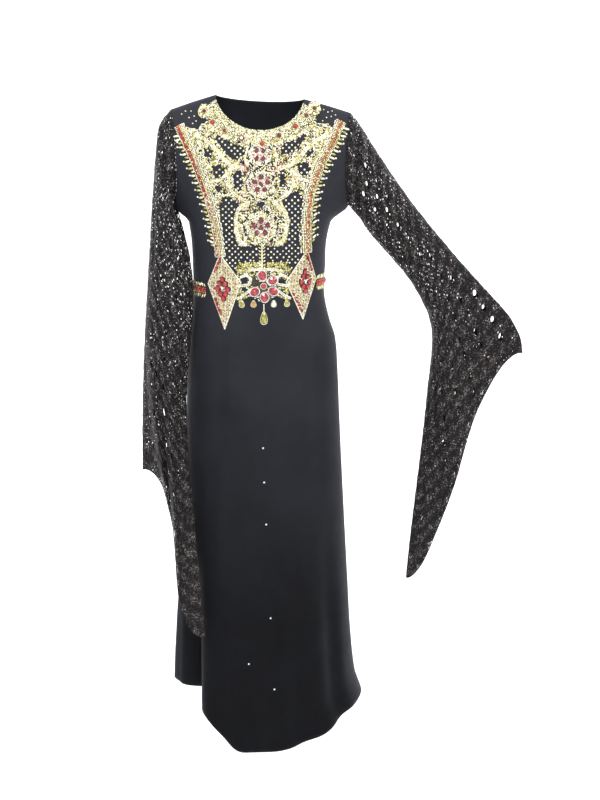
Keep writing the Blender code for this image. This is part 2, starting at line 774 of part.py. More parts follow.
class FrontMap:
    """Finds places on the outside of the front, so that beadwork follows it."""

    def __init__(self, points: list, normals: list) -> None:
        """Keep the front's outer points and normals."""
        self.points = points
        self.normals = normals
        self.rows = len(points) - 1
        self.columns = len(points[0]) - 1

    def mix(self, grid: list, column: float, row: float) -> Vector:
        """The value of a grid between its points, on the triangles that the wall has there."""
        c = min(max(int(column), 0), self.columns - 1)
        r = min(max(int(row), 0), self.rows - 1)
        along, up = column - c, row - r
        start, end = grid[r][c], grid[r + 1][c + 1]
        corner = grid[r][c + 1] if along >= up else grid[r + 1][c]
        if along >= up:
            return start + (corner - start) * along + (end - corner) * up
        return start + (corner - start) * up + (end - corner) * along

    def row_at(self, column: float, height: float) -> float:
        """The row where a column reaches a height."""
        low, high = 0.0, float(self.rows)
        for _ in range(30):
            middle = (low + high) / 2
            if self.mix(self.points, column, middle).z < height:
                low = middle
            else:
                high = middle
        return low

    def lifted(self, column: float, row: float, height: float) -> Vector:
        """A point that stands a height above the front at a column and row."""
        normal = self.mix(self.normals, column, row).normalized()
        return self.mix(self.points, column, row) + normal * height

    def place(self, x: float, z: float) -> tuple:
        """The column and row of the point with the given x and z."""
        low, high = 0.0, float(self.columns)
        for _ in range(30):
            middle = (low + high) / 2
            if self.mix(self.points, middle, self.row_at(middle, z)).x < x:
                low = middle
            else:
                high = middle
        return low, self.row_at(low, z)


def beaded_disc(front: FrontMap, middle: tuple, rim: list, rings: tuple, rise: float,
                petals: list, stones: float = 1.0) -> bmesh.types.BMesh:
    """A raised motif on the front, from its middle out through rings to its rim.

    Args:
        front: the map of the front.
        middle: the x and z of the motif's middle.
        rim: the x and z of the rim's points, in order.
        rings: the rings between the middle and the rim, and the rim itself.
        rise: how high the middle stands.
        petals: for each rim point, how much of a ring's petal height it takes.
        stones: a factor on every height.
    """
    bm = bmesh.new()
    layers = []
    for raised in (True, False):
        def spot(x: float, z: float, height: float) -> bmesh.types.BMVert:
            lift = TRIM_GAP + (TRIM_BACKING + height * stones if raised else 0.0)
            return bm.verts.new(front.lifted(*front.place(x, z), lift))

        loops = [
            [
                spot(
                    middle[0] + (x - middle[0]) * ring.share,
                    middle[1] + (z - middle[1]) * ring.share,
                    ring.rise + ring.petal * petal,
                )
                for (x, z), petal in zip(rim, petals)
            ]
            for ring in rings
        ]
        hub = spot(*middle, rise)
        count = len(rim)
        for n in range(count):
            after = (n + 1) % count
            bm.faces.new((hub, loops[0][n], loops[0][after]))
            for near, far in zip(loops, loops[1:]):
                bm.faces.new((near[n], far[n], far[after], near[after]))
        layers.append(loops[-1])
    for n in range(len(rim)):
        after = (n + 1) % len(rim)
        bm.faces.new((layers[0][n], layers[0][after], layers[1][after], layers[1][n]))
    bmesh.ops.recalc_face_normals(bm, faces=bm.faces)
    return bm


def beaded_strip(front: FrontMap, places: list, ridge: float) -> bmesh.types.BMesh:
    """A raised strip on the front, highest along its middle line.

    Args:
        front: the map of the front.
        places: rows of columns and rows of the front, from one edge of the strip to the other.
        ridge: how much higher the middle line stands than the edges.
    """
    last = len(places[0]) - 1
    heights = [ridge * math.sin(math.pi * n / last) for n in range(last + 1)]
    under = [[front.lifted(*place, TRIM_GAP) for place in row] for row in places]
    over = [
        [front.lifted(*place, TRIM_GAP + TRIM_BACKING + height) for place, height in zip(row, heights)]
        for row in places
    ]
    return wall(over, under)


def neck_band_places(front: FrontMap) -> list:
    """Places across the neckline band, from the left shoulder round to the right one."""
    rows = []
    for n in range(NECK_BAND_STEPS + 1):
        turn = NECK_BAND_TURN * (2 * n / NECK_BAND_STEPS - 1)
        edge = top_edge(turn / 90 * NECK_SHARE, FRONT)
        across = math.sin(math.radians(turn))
        towards = math.cos(math.radians(turn))
        row = []
        for share in (0.0, 0.25, 0.5, 0.75, 1.0):
            side = NECK_BAND_INSET + NECK_BAND_SIDE_WIDTH * share
            low = NECK_BAND_INSET + NECK_BAND_FRONT_WIDTH * share
            x = edge.x + side * across
            z = edge.z - low * towards - NECK_BAND_END_DROP * share * across**2
            row.append(front.place(x, z))
        rows.append(row)
    return rows


def v_band_places(front: FrontMap, route: tuple) -> list:
    """Places across a V band along its route of x and z."""
    lengths = [0.0]
    for before, after in zip(route, route[1:]):
        lengths.append(lengths[-1] + math.dist(before, after))
    rows = []
    for n in range(V_BAND_STEPS + 1):
        target = lengths[-1] * n / V_BAND_STEPS
        at = max(i for i in range(len(route) - 1) if lengths[i] <= target + 1e-9)
        share = (target - lengths[at]) / (lengths[at + 1] - lengths[at])
        start, end = Vector(route[at]), Vector(route[at + 1])
        middle = start.lerp(end, share)
        before, after = Vector(route[max(at - 1, 0)]), Vector(route[min(at + 2, len(route) - 1)])
        along = (start - before).lerp(after - end, share) + (end - start)
        square = Vector((-along.y, along.x)).normalized() * V_BAND_HALF
        rows.append([front.place(*(middle + square * side)) for side in (-1, -0.5, 0, 0.5, 1)])
    return rows


def strap_places(front: FrontMap, turns: tuple, levels: tuple) -> list:
    """Places across a belt strap between two turns round the body."""
    rows = []
    for n in range(STRAP_STEPS + 1):
        share = n / STRAP_STEPS
        turn = turns[0] + (turns[1] - turns[0]) * share
        level = levels[0] + (levels[1] - levels[0]) * share
        column = (turn / 90 + 1) / 2 * front.columns
        heights = (level - STRAP_HALF, level, level + STRAP_HALF)
        rows.append([(column, front.row_at(column, height)) for height in heights])
    return rows


def add_beadwork(front: FrontMap, collection: bpy.types.Collection) -> None:
    """Build the sewn-on bead motifs and bands on the front."""
    sectors = PETALS * SECTORS_A_PETAL
    petal_shares = [hump((n + 0.5 * SECTORS_A_PETAL) % SECTORS_A_PETAL - 0.5 * SECTORS_A_PETAL,
                         0.5 * SECTORS_A_PETAL) for n in range(sectors)]
    for rosette in ROSETTES:
        rim = [
            (
                rosette.x + rosette.radius * math.sin(2 * math.pi * n / sectors),
                rosette.z + rosette.radius * math.cos(2 * math.pi * n / sectors),
            )
            for n in range(sectors)
        ]
        disc = beaded_disc(front, (rosette.x, rosette.z), rim, ROSETTE_RINGS, ROSETTE_RISE,
                           petal_shares, rosette.stones)
        add_piece(rosette.name, disc, RED_FINISH, collection)
    for diamond in DIAMONDS:
        corners = (diamond.top, diamond.left, diamond.bottom, diamond.right)
        rim = [
            tuple(Vector(start).lerp(Vector(end), n / DIAMOND_SECTORS_A_SIDE))
            for start, end in zip(corners, corners[1:] + corners[:1])
            for n in range(DIAMOND_SECTORS_A_SIDE)
        ]
        middle = tuple(sum((Vector(corner) for corner in corners), Vector((0.0, 0.0))) / 4)
        disc = beaded_disc(front, middle, rim, DIAMOND_RINGS, DIAMOND_RISE, [0.0] * len(rim))
        add_piece(diamond.name, disc, GOLD_FINISH, collection)
    for drop in DROPS:
        rim = [
            (
                drop.x + drop.half_width * math.sin(2 * math.pi * n / DROP_SECTORS),
                drop.z + drop.half_height * math.cos(2 * math.pi * n / DROP_SECTORS),
            )
            for n in range(DROP_SECTORS)
        ]
        disc = beaded_disc(front, (drop.x, drop.z), rim, DROP_RINGS, DROP_RISE, [0.0] * len(rim))
        add_piece(drop.name, disc, AMBER_FINISH, collection)
    strips = (
        ("neckline_band", neck_band_places(front), NECK_BAND_RIDGE),
        ("v_band_left", v_band_places(front, V_BAND_LEFT), V_BAND_RIDGE),
        ("v_band_right", v_band_places(front, V_BAND_RIGHT), V_BAND_RIDGE),
        ("belt_strap_left", strap_places(front, STRAP_LEFT_TURNS, STRAP_LEFT_LEVELS), STRAP_RIDGE),
        ("belt_strap_right", strap_places(front, STRAP_RIGHT_TURNS, STRAP_RIGHT_LEVELS), STRAP_RIDGE),
    )
    for name, places, ridge in strips:
        add_piece(name, beaded_strip(front, places, ridge), GOLD_FINISH, collection)


def main() -> None:
    """Clear the scene and build the gown."""
    for old in list(bpy.data.objects):
        bpy.data.objects.remove(old, do_unlink=True)
    collection = bpy.data.collections.new("kaftan")
    bpy.context.scene.collection.children.link(collection)
    front = add_body(collection)
    add_sleeves(collection)
    add_beadwork(front, collection)


main()
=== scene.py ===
"""Dresses the kaftan: crepe gown, lace sleeves, bead front and jewelled belt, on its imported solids.

Metres, +Z up, +X to the right of someone who faces the front, +Y to the back of the gown.
"""
import logging
import math
import random
from dataclasses import dataclass, field
from enum import Enum
from typing import Callable, ClassVar, Iterator, NamedTuple, Sequence

import bmesh
import bpy
import numpy as np
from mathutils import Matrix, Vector
from mathutils.bvhtree import BVHTree


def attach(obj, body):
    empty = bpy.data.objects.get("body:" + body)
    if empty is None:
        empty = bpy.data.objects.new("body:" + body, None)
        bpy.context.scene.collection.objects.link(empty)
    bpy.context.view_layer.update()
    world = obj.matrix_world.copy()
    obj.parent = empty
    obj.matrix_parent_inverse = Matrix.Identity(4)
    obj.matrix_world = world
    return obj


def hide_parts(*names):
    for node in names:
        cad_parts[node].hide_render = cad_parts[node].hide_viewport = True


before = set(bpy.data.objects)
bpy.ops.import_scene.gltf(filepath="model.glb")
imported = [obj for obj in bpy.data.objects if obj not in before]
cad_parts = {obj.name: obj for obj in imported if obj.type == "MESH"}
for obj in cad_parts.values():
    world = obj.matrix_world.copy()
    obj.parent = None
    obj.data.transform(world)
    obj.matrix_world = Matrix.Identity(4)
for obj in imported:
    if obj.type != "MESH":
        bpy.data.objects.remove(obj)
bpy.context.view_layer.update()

log = logging.getLogger("kaftan")
Amount = float | np.ndarray
Socket = bpy.types.NodeSocket

# Cloth and seams
CREPE = 0.0012
SEAM_GAP = 0.0003
PAD_BACKING = 0.0012

# Chance, nesting and beads
CHANCE_STRETCH = 12.9898
CHANCE_SPREAD = 43758.5453
NEST = 0.866
LINE_END = 0.35
BEAD_SINK = 0.0002
BEAD_HEIGHT = 1.25
HALO_SPACING = 2.15

# Neckline and shoulders
NECK_LEFT = (-0.095, 0.004)
NECK_RIGHT = (0.092, -0.005)
NECK_FRONT_REACH = 0.088
NECK_FRONT_DROP = 0.067
NECK_BACK_REACH = 0.058
NECK_BACK_DROP = 0.01
NECK_SHARE = 0.5625
NECK_CURVE = 1.15
NECK_LEAN_IN = 0.9
NECK_LEAN_OVER_FRONT = 0.35
NECK_LEAN_OVER_BACK = 0.75
SEAM_LEAN_OVER = 0.6
TIP_LEAN_OVER = 1.0
SEAM_LEAN_UP = 0.35
TIP_LEAN_UP = 0.3
TIP_LEFT = (-0.192, -0.027)
TIP_RIGHT = (0.192, -0.034)
SHOULDER_RISE = 0.001

# Armholes
ARMHOLE_FOOT_LEFT = (-0.188, -0.23)
ARMHOLE_FOOT_RIGHT = (0.19, -0.229)
ARMHOLE_BOW = 0.011
ARMHOLE_DEPTH = 0.052
ARMHOLE_TAPER = 0.25

# Body
UNDERARM = -0.23
UNDERARM_REACH = 0.028
UNDERARM_FADE = 0.036
UNDERARM_SHARPNESS = 15
UNDERARM_LEAD = 0.03
YOKE_SHARPNESS = 3
SIDE_HEM = -1.36
HEM_DROP_START = -0.7
FOLD_ROUNDNESS = 1.2

# Sleeves
SLEEVE_TAPER = 0.45
SLEEVE_CELLS_ACROSS = 9
SLEEVE_CELLS_ALONG = 16
GAP_LEAST = 0.0075
GAP_MOST = 0.012
GAP_SHARE = 0.3
GAP_LONG = 0.65
GAP_WIDER = 1.1
GAP_STRAY_ACROSS = 0.16
GAP_STRAY_ALONG = 0.3
GAPS_A_HALF = 56
PANEL_BANDS = ("yoke", "waist", "skirt", "hem")
LEFT_SLEEVE_BANDS = ("_upper", "_middle", "_lower")
RIGHT_SLEEVE_BANDS = ("",)


class Face(Enum):
    """Which way a half of the gown looks."""

    FRONT = -1
    BACK = 1


class Side(Enum):
    """Left or right, as someone who faces the gown sees it."""

    LEFT = -1
    RIGHT = 1


class Girth(NamedTuple):
    """One level of the body: how far it reaches each way from the upright through the origin."""

    height: float
    left: float
    right: float
    front: float
    back: float

    @property
    def middle(self) -> float:
        """The x half way between the two sides."""
        return (self.right - self.left) / 2

    @property
    def half(self) -> float:
        """Half the width."""
        return (self.right + self.left) / 2


GIRTHS = tuple(Girth(*row) for row in (
    (-1.42, 0.201, 0.24, 0.2, 0.19), (-1.36, 0.198, 0.228, 0.186, 0.18),
    (-1.31, 0.196, 0.212, 0.175, 0.172), (-1.2, 0.193, 0.2, 0.156, 0.16),
    (-1.08, 0.189, 0.193, 0.141, 0.15), (-0.85, 0.178, 0.18, 0.122, 0.134),
    (-0.69, 0.17, 0.172, 0.113, 0.128), (-0.6, 0.166, 0.168, 0.109, 0.123),
    (-0.52, 0.161, 0.162, 0.103, 0.107), (-0.475, 0.155, 0.148, 0.098, 0.094),
    (-0.42, 0.15, 0.137, 0.095, 0.085), (-0.36, 0.15, 0.139, 0.101, 0.086),
    (-0.305, 0.152, 0.1415, 0.11, 0.091), (-0.255, 0.158, 0.153, 0.115, 0.095),
    (-0.23, 0.162, 0.162, 0.113, 0.097),
))


class HemPoint(NamedTuple):
    """The height of the hem at one turn round the body, in degrees from the front's middle."""

    turn: float
    height: float


HEM = tuple(HemPoint(*row) for row in (
    (-180, -1.408), (-140, -1.385), (-100, -1.322), (-60, -1.328), (-40, -1.358), (-30, -1.395),
    (-20, -1.428), (-10, -1.432), (0, -1.427), (30, -1.407), (60, -1.366), (90, -1.358), (135, -1.385),
    (180, -1.408),
))


class Fold(NamedTuple):
    """A lengthwise fold of the skirt; turn is measured round from the front's middle, in degrees."""

    turn: float
    spread: float
    depth: float
    top: float


SKIRT_FOLDS = tuple(Fold(*row) for row in (
    (-59, 16, 0.074, -0.98), (-38, 12, -0.01, -0.9), (-84, 12, -0.012, -0.98), (-8, 16, 0.009, -0.72),
    (24, 15, 0.011, -0.78), (52, 13, 0.008, -0.95), (108, 16, 0.014, -0.8), (140, 13, 0.016, -0.7),
    (168, 12, 0.014, -0.62), (-162, 14, 0.018, -0.66), (-132, 13, 0.014, -0.75),
    (-108, 12, 0.012, -0.9),
))


class SleeveRow(NamedTuple):
    """One section of a sleeve, from the armhole to the hem: its top and its underarm end."""

    share: float
    top_x: float
    top_y: float
    top_z: float
    under_x: float
    under_y: float
    under_z: float
    depth: float
    bow: float
    swing: float


RIGHT_SLEEVE = tuple(SleeveRow(*row) for row in (
    (0.0, 0.192, 0.0, -0.034, 0.19, 0.0, -0.229, 0.052, -0.011, 0.0),
    (0.06, 0.213, -0.001, -0.06, 0.214, -0.001, -0.258, 0.053, -0.003, 0.0),
    (0.125, 0.238, -0.004, -0.099, 0.234, -0.003, -0.288, 0.053, 0.0, 0.0),
    (0.25, 0.283, -0.01, -0.165, 0.281, -0.009, -0.34, 0.051, 0.0, 0.0),
    (0.375, 0.33, -0.016, -0.229, 0.333, -0.018, -0.405, 0.048, 0.0, 0.0),
    (0.5, 0.382, -0.024, -0.292, 0.372, -0.03, -0.497, 0.045, 0.0, 0.0),
    (0.625, 0.436, -0.034, -0.354, 0.364, -0.04, -0.635, 0.041, 0.0, -0.002),
    (0.75, 0.49, -0.044, -0.412, 0.35, -0.05, -0.78, 0.037, -0.003, -0.008),
    (0.875, 0.537, -0.054, -0.464, 0.336, -0.057, -0.912, 0.034, -0.006, -0.013),
    (0.95, 0.562, -0.058, -0.51, 0.328, -0.059, -0.995, 0.033, -0.011, -0.02),
    (1.0, 0.568, -0.06, -0.545, 0.323, -0.06, -1.06, 0.032, -0.014, -0.026),
))
LEFT_SLEEVE = tuple(SleeveRow(*row) for row in (
    (0.0, -0.192, 0.0, -0.027, -0.188, 0.0, -0.23, 0.052, -0.011, 0.0),
    (0.06, -0.215, -0.002, -0.058, -0.186, -0.014, -0.26, 0.053, 0.0, 0.0),
    (0.125, -0.224, -0.005, -0.11, -0.161, -0.044, -0.304, 0.054, 0.0, 0.0),
    (0.25, -0.233, -0.012, -0.208, -0.149, -0.046, -0.37, 0.056, 0.0, 0.0),
    (0.375, -0.24, -0.024, -0.308, -0.146, -0.058, -0.44, 0.058, 0.0, 0.0),
    (0.5, -0.247, -0.036, -0.409, -0.154, -0.064, -0.53, 0.06, 0.0, 0.0),
    (0.625, -0.254, -0.047, -0.508, -0.163, -0.076, -0.645, 0.06, 0.0, -0.002),
    (0.75, -0.259, -0.056, -0.607, -0.158, -0.098, -0.776, 0.056, -0.001, -0.006),
    (0.875, -0.262, -0.066, -0.706, -0.143, -0.136, -0.948, 0.048, -0.003, -0.016),
    (1.0, -0.263, -0.074, -0.803, -0.125, -0.16, -1.16, 0.034, -0.005, -0.029),
))


class Ripple(NamedTuple):
    """A fold that runs down a sleeve from its top towards the hem, in both layers at once."""

    across: float
    spread: float
    depth: float
    start: float


RIGHT_RIPPLES = tuple(Ripple(*row) for row in (
    (0.3, 0.16, 0.01, 0.45), (0.55, 0.18, -0.013, 0.4), (0.8, 0.14, 0.01, 0.35),
))
LEFT_RIPPLES = tuple(Ripple(*row) for row in (
    (0.22, 0.14, -0.011, 0.3), (0.45, 0.16, 0.014, 0.25), (0.7, 0.16, -0.013, 0.35),
))


class Crease(NamedTuple):
    """A soft trough or ridge along a line on a panel, by x and z at both ends; depth is inwards."""

    x: float
    z: float
    x_end: float
    z_end: float
    width: float
    depth: float


FRONT_CREASES = tuple(Crease(*row) for row in (
    (-0.061, -0.455, -0.064, -0.66, 0.012, -0.0022), (-0.084, -0.5, -0.092, -0.76, 0.016, 0.0024),
    (0.034, -0.52, 0.05, -0.9, 0.02, 0.0026), (0.082, -0.48, 0.096, -0.74, 0.014, -0.0022),
    (0.118, -0.5, 0.128, -0.86, 0.013, 0.0024), (-0.02, -0.62, -0.034, -1.08, 0.022, -0.0024),
    (0.01, -0.86, 0.004, -1.33, 0.018, 0.0032), (0.07, -0.8, 0.094, -1.3, 0.022, -0.0034),
    (-0.07, -0.84, -0.078, -1.26, 0.018, 0.003), (0.14, -0.92, 0.16, -1.33, 0.016, 0.0034),
    (-0.11, -0.78, -0.116, -1.12, 0.014, 0.0026), (0.132, -0.44, 0.078, -0.452, 0.007, 0.0018),
    (0.14, -0.488, 0.09, -0.506, 0.008, 0.0016), (-0.138, -0.452, -0.09, -0.47, 0.007, 0.0016),
    (0.156, -0.262, 0.116, -0.234, 0.007, 0.0018), (0.152, -0.3, 0.118, -0.292, 0.006, 0.0014),
    (-0.158, -0.262, -0.126, -0.226, 0.007, 0.0018), (0.172, -0.15, 0.146, -0.19, 0.008, 0.0016),
    (-0.172, -0.14, -0.152, -0.2, 0.008, 0.0016),
))
BACK_CREASES = tuple(Crease(*row) for row in (
    (0.01, -0.12, -0.004, -0.33, 0.018, 0.0022), (-0.12, -0.18, -0.07, -0.36, 0.014, 0.0026),
    (0.118, -0.19, 0.074, -0.36, 0.014, 0.0024), (-0.12, -0.372, -0.02, -0.384, 0.009, 0.0026),
    (0.118, -0.4, 0.01, -0.392, 0.01, 0.0028), (-0.112, -0.43, -0.036, -0.448, 0.009, 0.002),
    (-0.05, -0.54, -0.066, -1.0, 0.02, 0.003), (0.02, -0.56, 0.028, -1.15, 0.022, -0.0028),
    (0.082, -0.56, 0.106, -1.06, 0.018, 0.003), (-0.11, -0.62, -0.13, -1.18, 0.016, -0.0026),
    (-0.01, -0.82, -0.018, -1.37, 0.018, 0.0034), (0.128, -0.76, 0.15, -1.32, 0.016, 0.0032),
    (0.06, -0.05, 0.09, -0.13, 0.01, 0.0016), (-0.064, -0.048, -0.094, -0.13, 0.01, 0.0016),
))


class Ruck(NamedTuple):
    """A soft trough or ridge on a sleeve, by its shares along and across at both ends."""

    along: float
    across: float
    along_end: float
    across_end: float
    width: float
    depth: float


RIGHT_RUCKS = tuple(Ruck(*row) for row in (
    (0.03, 0.1, 0.09, 0.55, 0.009, 0.0042), (0.062, 0.14, 0.115, 0.7, 0.008, -0.003),
    (0.1, 0.1, 0.15, 0.6, 0.01, 0.004), (0.15, 0.2, 0.21, 0.78, 0.011, 0.0034),
    (0.02, 0.62, 0.1, 0.92, 0.008, 0.0036), (0.21, 0.14, 0.26, 0.5, 0.012, -0.0026),
    (0.29, 0.4, 0.35, 0.82, 0.012, 0.0028), (0.43, 0.16, 0.76, 0.26, 0.014, 0.003),
    (0.48, 0.42, 0.94, 0.48, 0.018, 0.0034), (0.56, 0.66, 0.97, 0.7, 0.016, -0.003),
    (0.62, 0.86, 0.98, 0.9, 0.012, 0.0026),
))
LEFT_RUCKS = tuple(Ruck(*row) for row in (
    (0.02, 0.16, 0.08, 0.62, 0.009, 0.0036), (0.06, 0.12, 0.13, 0.46, 0.009, -0.003),
    (0.11, 0.3, 0.19, 0.74, 0.01, 0.0034), (0.03, 0.66, 0.12, 0.94, 0.008, 0.003),
    (0.2, 0.16, 0.42, 0.22, 0.012, 0.003), (0.26, 0.54, 0.6, 0.6, 0.014, -0.003),
    (0.38, 0.34, 0.9, 0.36, 0.016, 0.0036), (0.52, 0.82, 0.92, 0.84, 0.013, 0.003),
    (0.64, 0.12, 0.96, 0.14, 0.012, 0.0026),
))


def hermite(start: Amount, leave: Amount, end: Amount, arrive: Amount, t: Amount) -> Amount:
    """Run smoothly from a start to an end.

    Args:
        start: the value at 0.
        leave: the slope at 0.
        end: the value at 1.
        arrive: the slope at 1.
        t: the place between them, from 0 to 1.

    Returns:
        The value at that place.
    """
    return (
        start * (2 * t**3 - 3 * t**2 + 1) + leave * (t**3 - 2 * t**2 + t)
        + end * (3 * t**2 - 2 * t**3) + arrive * (t**3 - t**2)
    )


def blend(rows: tuple, key: str, value: float) -> tuple:
    """Read a table of rows between its lines, along a smooth curve through them.

    Args:
        rows: the table, whose lines rise in the key column.
        key: the name of the column that is looked up.
        value: the value to find in that column.

    Returns:
        One line of the table's own kind, with every column read at the value.
    """
    keys = [getattr(row, key) for row in rows]
    last = len(rows) - 1
    below = 0
    while below < last - 1 and value > keys[below + 1]:
        below += 1
    span = keys[below + 1] - keys[below]
    t = min(max((value - keys[below]) / span, 0.0), 1.0)

    def slope(at: int, column: int) -> float:
        """The table's rise per unit of the key, at one line."""
        low, high = max(at - 1, 0), min(at + 1, last)
        return (rows[high][column] - rows[low][column]) / (keys[high] - keys[low])

    values = []
    for column in range(len(rows[0])):
        start, end = rows[below][column], rows[below + 1][column]
        rise_start, rise_end = slope(below, column) * span, slope(below + 1, column) * span
        values.append(hermite(start, rise_start, end, rise_end, t))
    return type(rows[0])(*values)


def ease(t: Amount) -> Amount:
    """Rise smoothly from 0 at 0 to 1 at 1."""
    t = np.clip(t, 0.0, 1.0)
    return t * t * (3 - 2 * t)


def hump(distance: np.ndarray, spread: float) -> np.ndarray:
    """A rounded hump, 1 in its middle and 0 from the spread outwards."""
    t = np.minimum(np.abs(distance) / spread, 1.0)
    return (0.5 + 0.5 * np.cos(np.pi * t)) ** FOLD_ROUNDNESS


def chances(seeds: Amount) -> Amount:
    """Repeatable numbers from 0 to 1 that look like chance."""
    value = np.sin(seeds * CHANCE_STRETCH) * CHANCE_SPREAD
    return value - np.floor(value)


def line_strength(a: np.ndarray, b: np.ndarray, ends: Sequence[float], width: float) -> np.ndarray:
    """How strongly a line with soft ends is felt at each place.

    Args:
        a: the first coordinate of every place.
        b: the second coordinate of every place.
        ends: the line's two ends, as a, b, a, b.
        width: the distance at which the line has mostly faded.

    Returns:
        A share from 0 to 1 for every place.
    """
    start_a, start_b, end_a, end_b = ends
    run_a, run_b = end_a - start_a, end_b - start_b
    length = math.hypot(run_a, run_b)
    along = ((a - start_a) * run_a + (b - start_b) * run_b) / length**2
    off = np.abs((a - start_a) * run_b - (b - start_b) * run_a) / length
    fade = ease(along / LINE_END + LINE_END) * ease((1 - along) / LINE_END + LINE_END)
    return np.exp(-((off / width) ** 2)) * fade


def grid_normals(points: np.ndarray, turn: float) -> np.ndarray:
    """Find the unit normals of a grid of points.

    Args:
        points: the grid, in rows.
        turn: 1 or -1, whichever makes the normals point outwards.

    Returns:
        One normal for every point.
    """
    up = np.gradient(points, axis=0)
    along = np.gradient(points, axis=1)
    normals = np.cross(up, along) * turn
    return normals / np.maximum(np.linalg.norm(normals, axis=2, keepdims=True), 1e-12)


def mesh_object(name: str, points: Sequence, faces: Sequence, smooth: bool = True) -> bpy.types.Object:
    """Make a mesh object and put it in the scene.

    Args:
        name: the object's name.
        points: its points.
        faces: its faces, as numbers of points.
        smooth: whether it is shaded smooth.

    Returns:
        The object.
    """
    mesh = bpy.data.meshes.new(name)
    mesh.from_pydata(points, [], faces)
    if smooth:
        mesh.shade_smooth()
    mesh.update()
    obj = bpy.data.objects.new(name, mesh)
    bpy.context.scene.collection.objects.link(obj)
    return obj


# Finishes


class NodeBench:
    """A small helper that lays shader nodes for one material."""

    def __init__(self, name: str) -> None:
        """Start a material with one Principled shader.

        Args:
            name: the material's name.
        """
        self.material = bpy.data.materials.new(name)
        self.material.use_nodes = True
        self.tree = self.material.node_tree
        self.shader = self.tree.nodes["Principled BSDF"]
        self.place = self.tree.nodes.new("ShaderNodeTexCoord").outputs["Object"]

    def lay(self, kind: str, values: dict, links: dict, output: str, **settings: object) -> Socket:
        """Lay one node.

        Args:
            kind: Blender's name of the node.
            values: the values of its inputs.
            links: the sockets that feed its inputs.
            output: the name of the output that is wanted.
            settings: the node's own settings.

        Returns:
            That output.
        """
        node = self.tree.nodes.new("ShaderNode" + kind)
        for name, value in settings.items():
            setattr(node, name, value)
        for at, value in values.items():
            node.inputs[at].default_value = value
        for at, source in links.items():
            self.tree.links.new(source, node.inputs[at])
        return node.outputs[output]

    def noise(self, scale: float, detail: float = 2.0, rough: float = 0.5) -> Socket:
        """A noise pattern in the cloth's own place, from 0 to 1."""
        values = {"Scale": scale, "Detail": detail, "Roughness": rough}
        return self.lay("TexNoise", values, {"Vector": self.place}, "Fac")

    def cells(self, scale: float) -> Socket:
        """A pattern of cells, dark in the middle of each."""
        return self.lay("TexVoronoi", {"Scale": scale}, {"Vector": self.place}, "Distance")

    def level(self, low: float, high: float) -> Socket:
        """How high a place is, from 0 at the low level to 1 at the high one."""
        upright = self.lay("SeparateXYZ", {}, {"Vector": self.place}, "Z")
        return self.lay("MapRange", {"From Min": low, "From Max": high}, {"Value": upright}, "Result")

    def bands(self, scale: float, direction: str, wobble: float) -> Socket:
        """Fine bands across one direction, for a weave or twist."""
        values = {"Scale": scale, "Distortion": wobble}
        return self.lay("TexWave", values, {"Vector": self.place}, "Fac", bands_direction=direction)

    def ramp(self, value: Socket, stops: Sequence[tuple]) -> Socket:
        """Turn a value into a colour.

        Args:
            value: the socket that gives it.
            stops: pairs of a place from 0 to 1 and the colour there.

        Returns:
            The colour.
        """
        output = self.lay("ValToRGB", {}, {"Fac": value}, "Color")
        elements = output.node.color_ramp.elements
        for at, (place, colour) in enumerate(stops):
            stop = elements[at] if at < 2 else elements.new(place)
            stop.position = place
            stop.color = (*colour, 1.0)
        return output

    def scaled(self, value: Socket, low: float, high: float) -> Socket:
        """Stretch a value from 0 to 1 to the range from low to high."""
        return self.lay("MapRange", {"To Min": low, "To Max": high}, {"Value": value}, "Result")

    def sum(self, first: Socket, second: Socket, share: float) -> Socket:
        """The first value plus a share of the second."""
        return self.lay("Math", {1: share}, {0: second, 2: first}, "Value", operation="MULTIPLY_ADD")

    def mixed(self, share: Socket, first: Socket, second: Socket) -> Socket:
        """Mix two colours.

        Args:
            share: how much there is of the second.
            first: the first colour.
            second: the second colour.

        Returns:
            The mixed colour.
        """
        node = self.tree.nodes.new("ShaderNodeMix")
        node.data_type = "RGBA"
        colours = [socket for socket in node.inputs if socket.type == "RGBA"]
        for source, target in ((share, node.inputs[0]), (first, colours[0]), (second, colours[1])):
            self.tree.links.new(source, target)
        return [socket for socket in node.outputs if socket.type == "RGBA"][0]

    def named(self, attribute: str) -> Socket:
        """The value that the mesh carries at each point under a name."""
        return self.lay("Attribute", {}, {}, "Fac", attribute_name=attribute)

    def bump(self, height: Socket, strength: float, distance: float) -> None:
        """Raise the surface by a height pattern."""
        normal = self.lay("Bump", {"Strength": strength, "Distance": distance}, {"Height": height}, "Normal")
        self.tree.links.new(normal, self.shader.inputs["Normal"])

    def colour(self, source: Socket) -> None:
        """Give the shader its colour."""
        self.tree.links.new(source, self.shader.inputs["Base Color"])

    def roughness(self, source: Socket) -> None:
        """Give the shader its roughness."""
        self.tree.links.new(source, self.shader.inputs["Roughness"])

    def plain(self, **values: object) -> None:
        """Set sockets of the shader to values that are the same all over."""
        for name, value in values.items():
            self.shader.inputs[name.replace("_", " ")].default_value = value


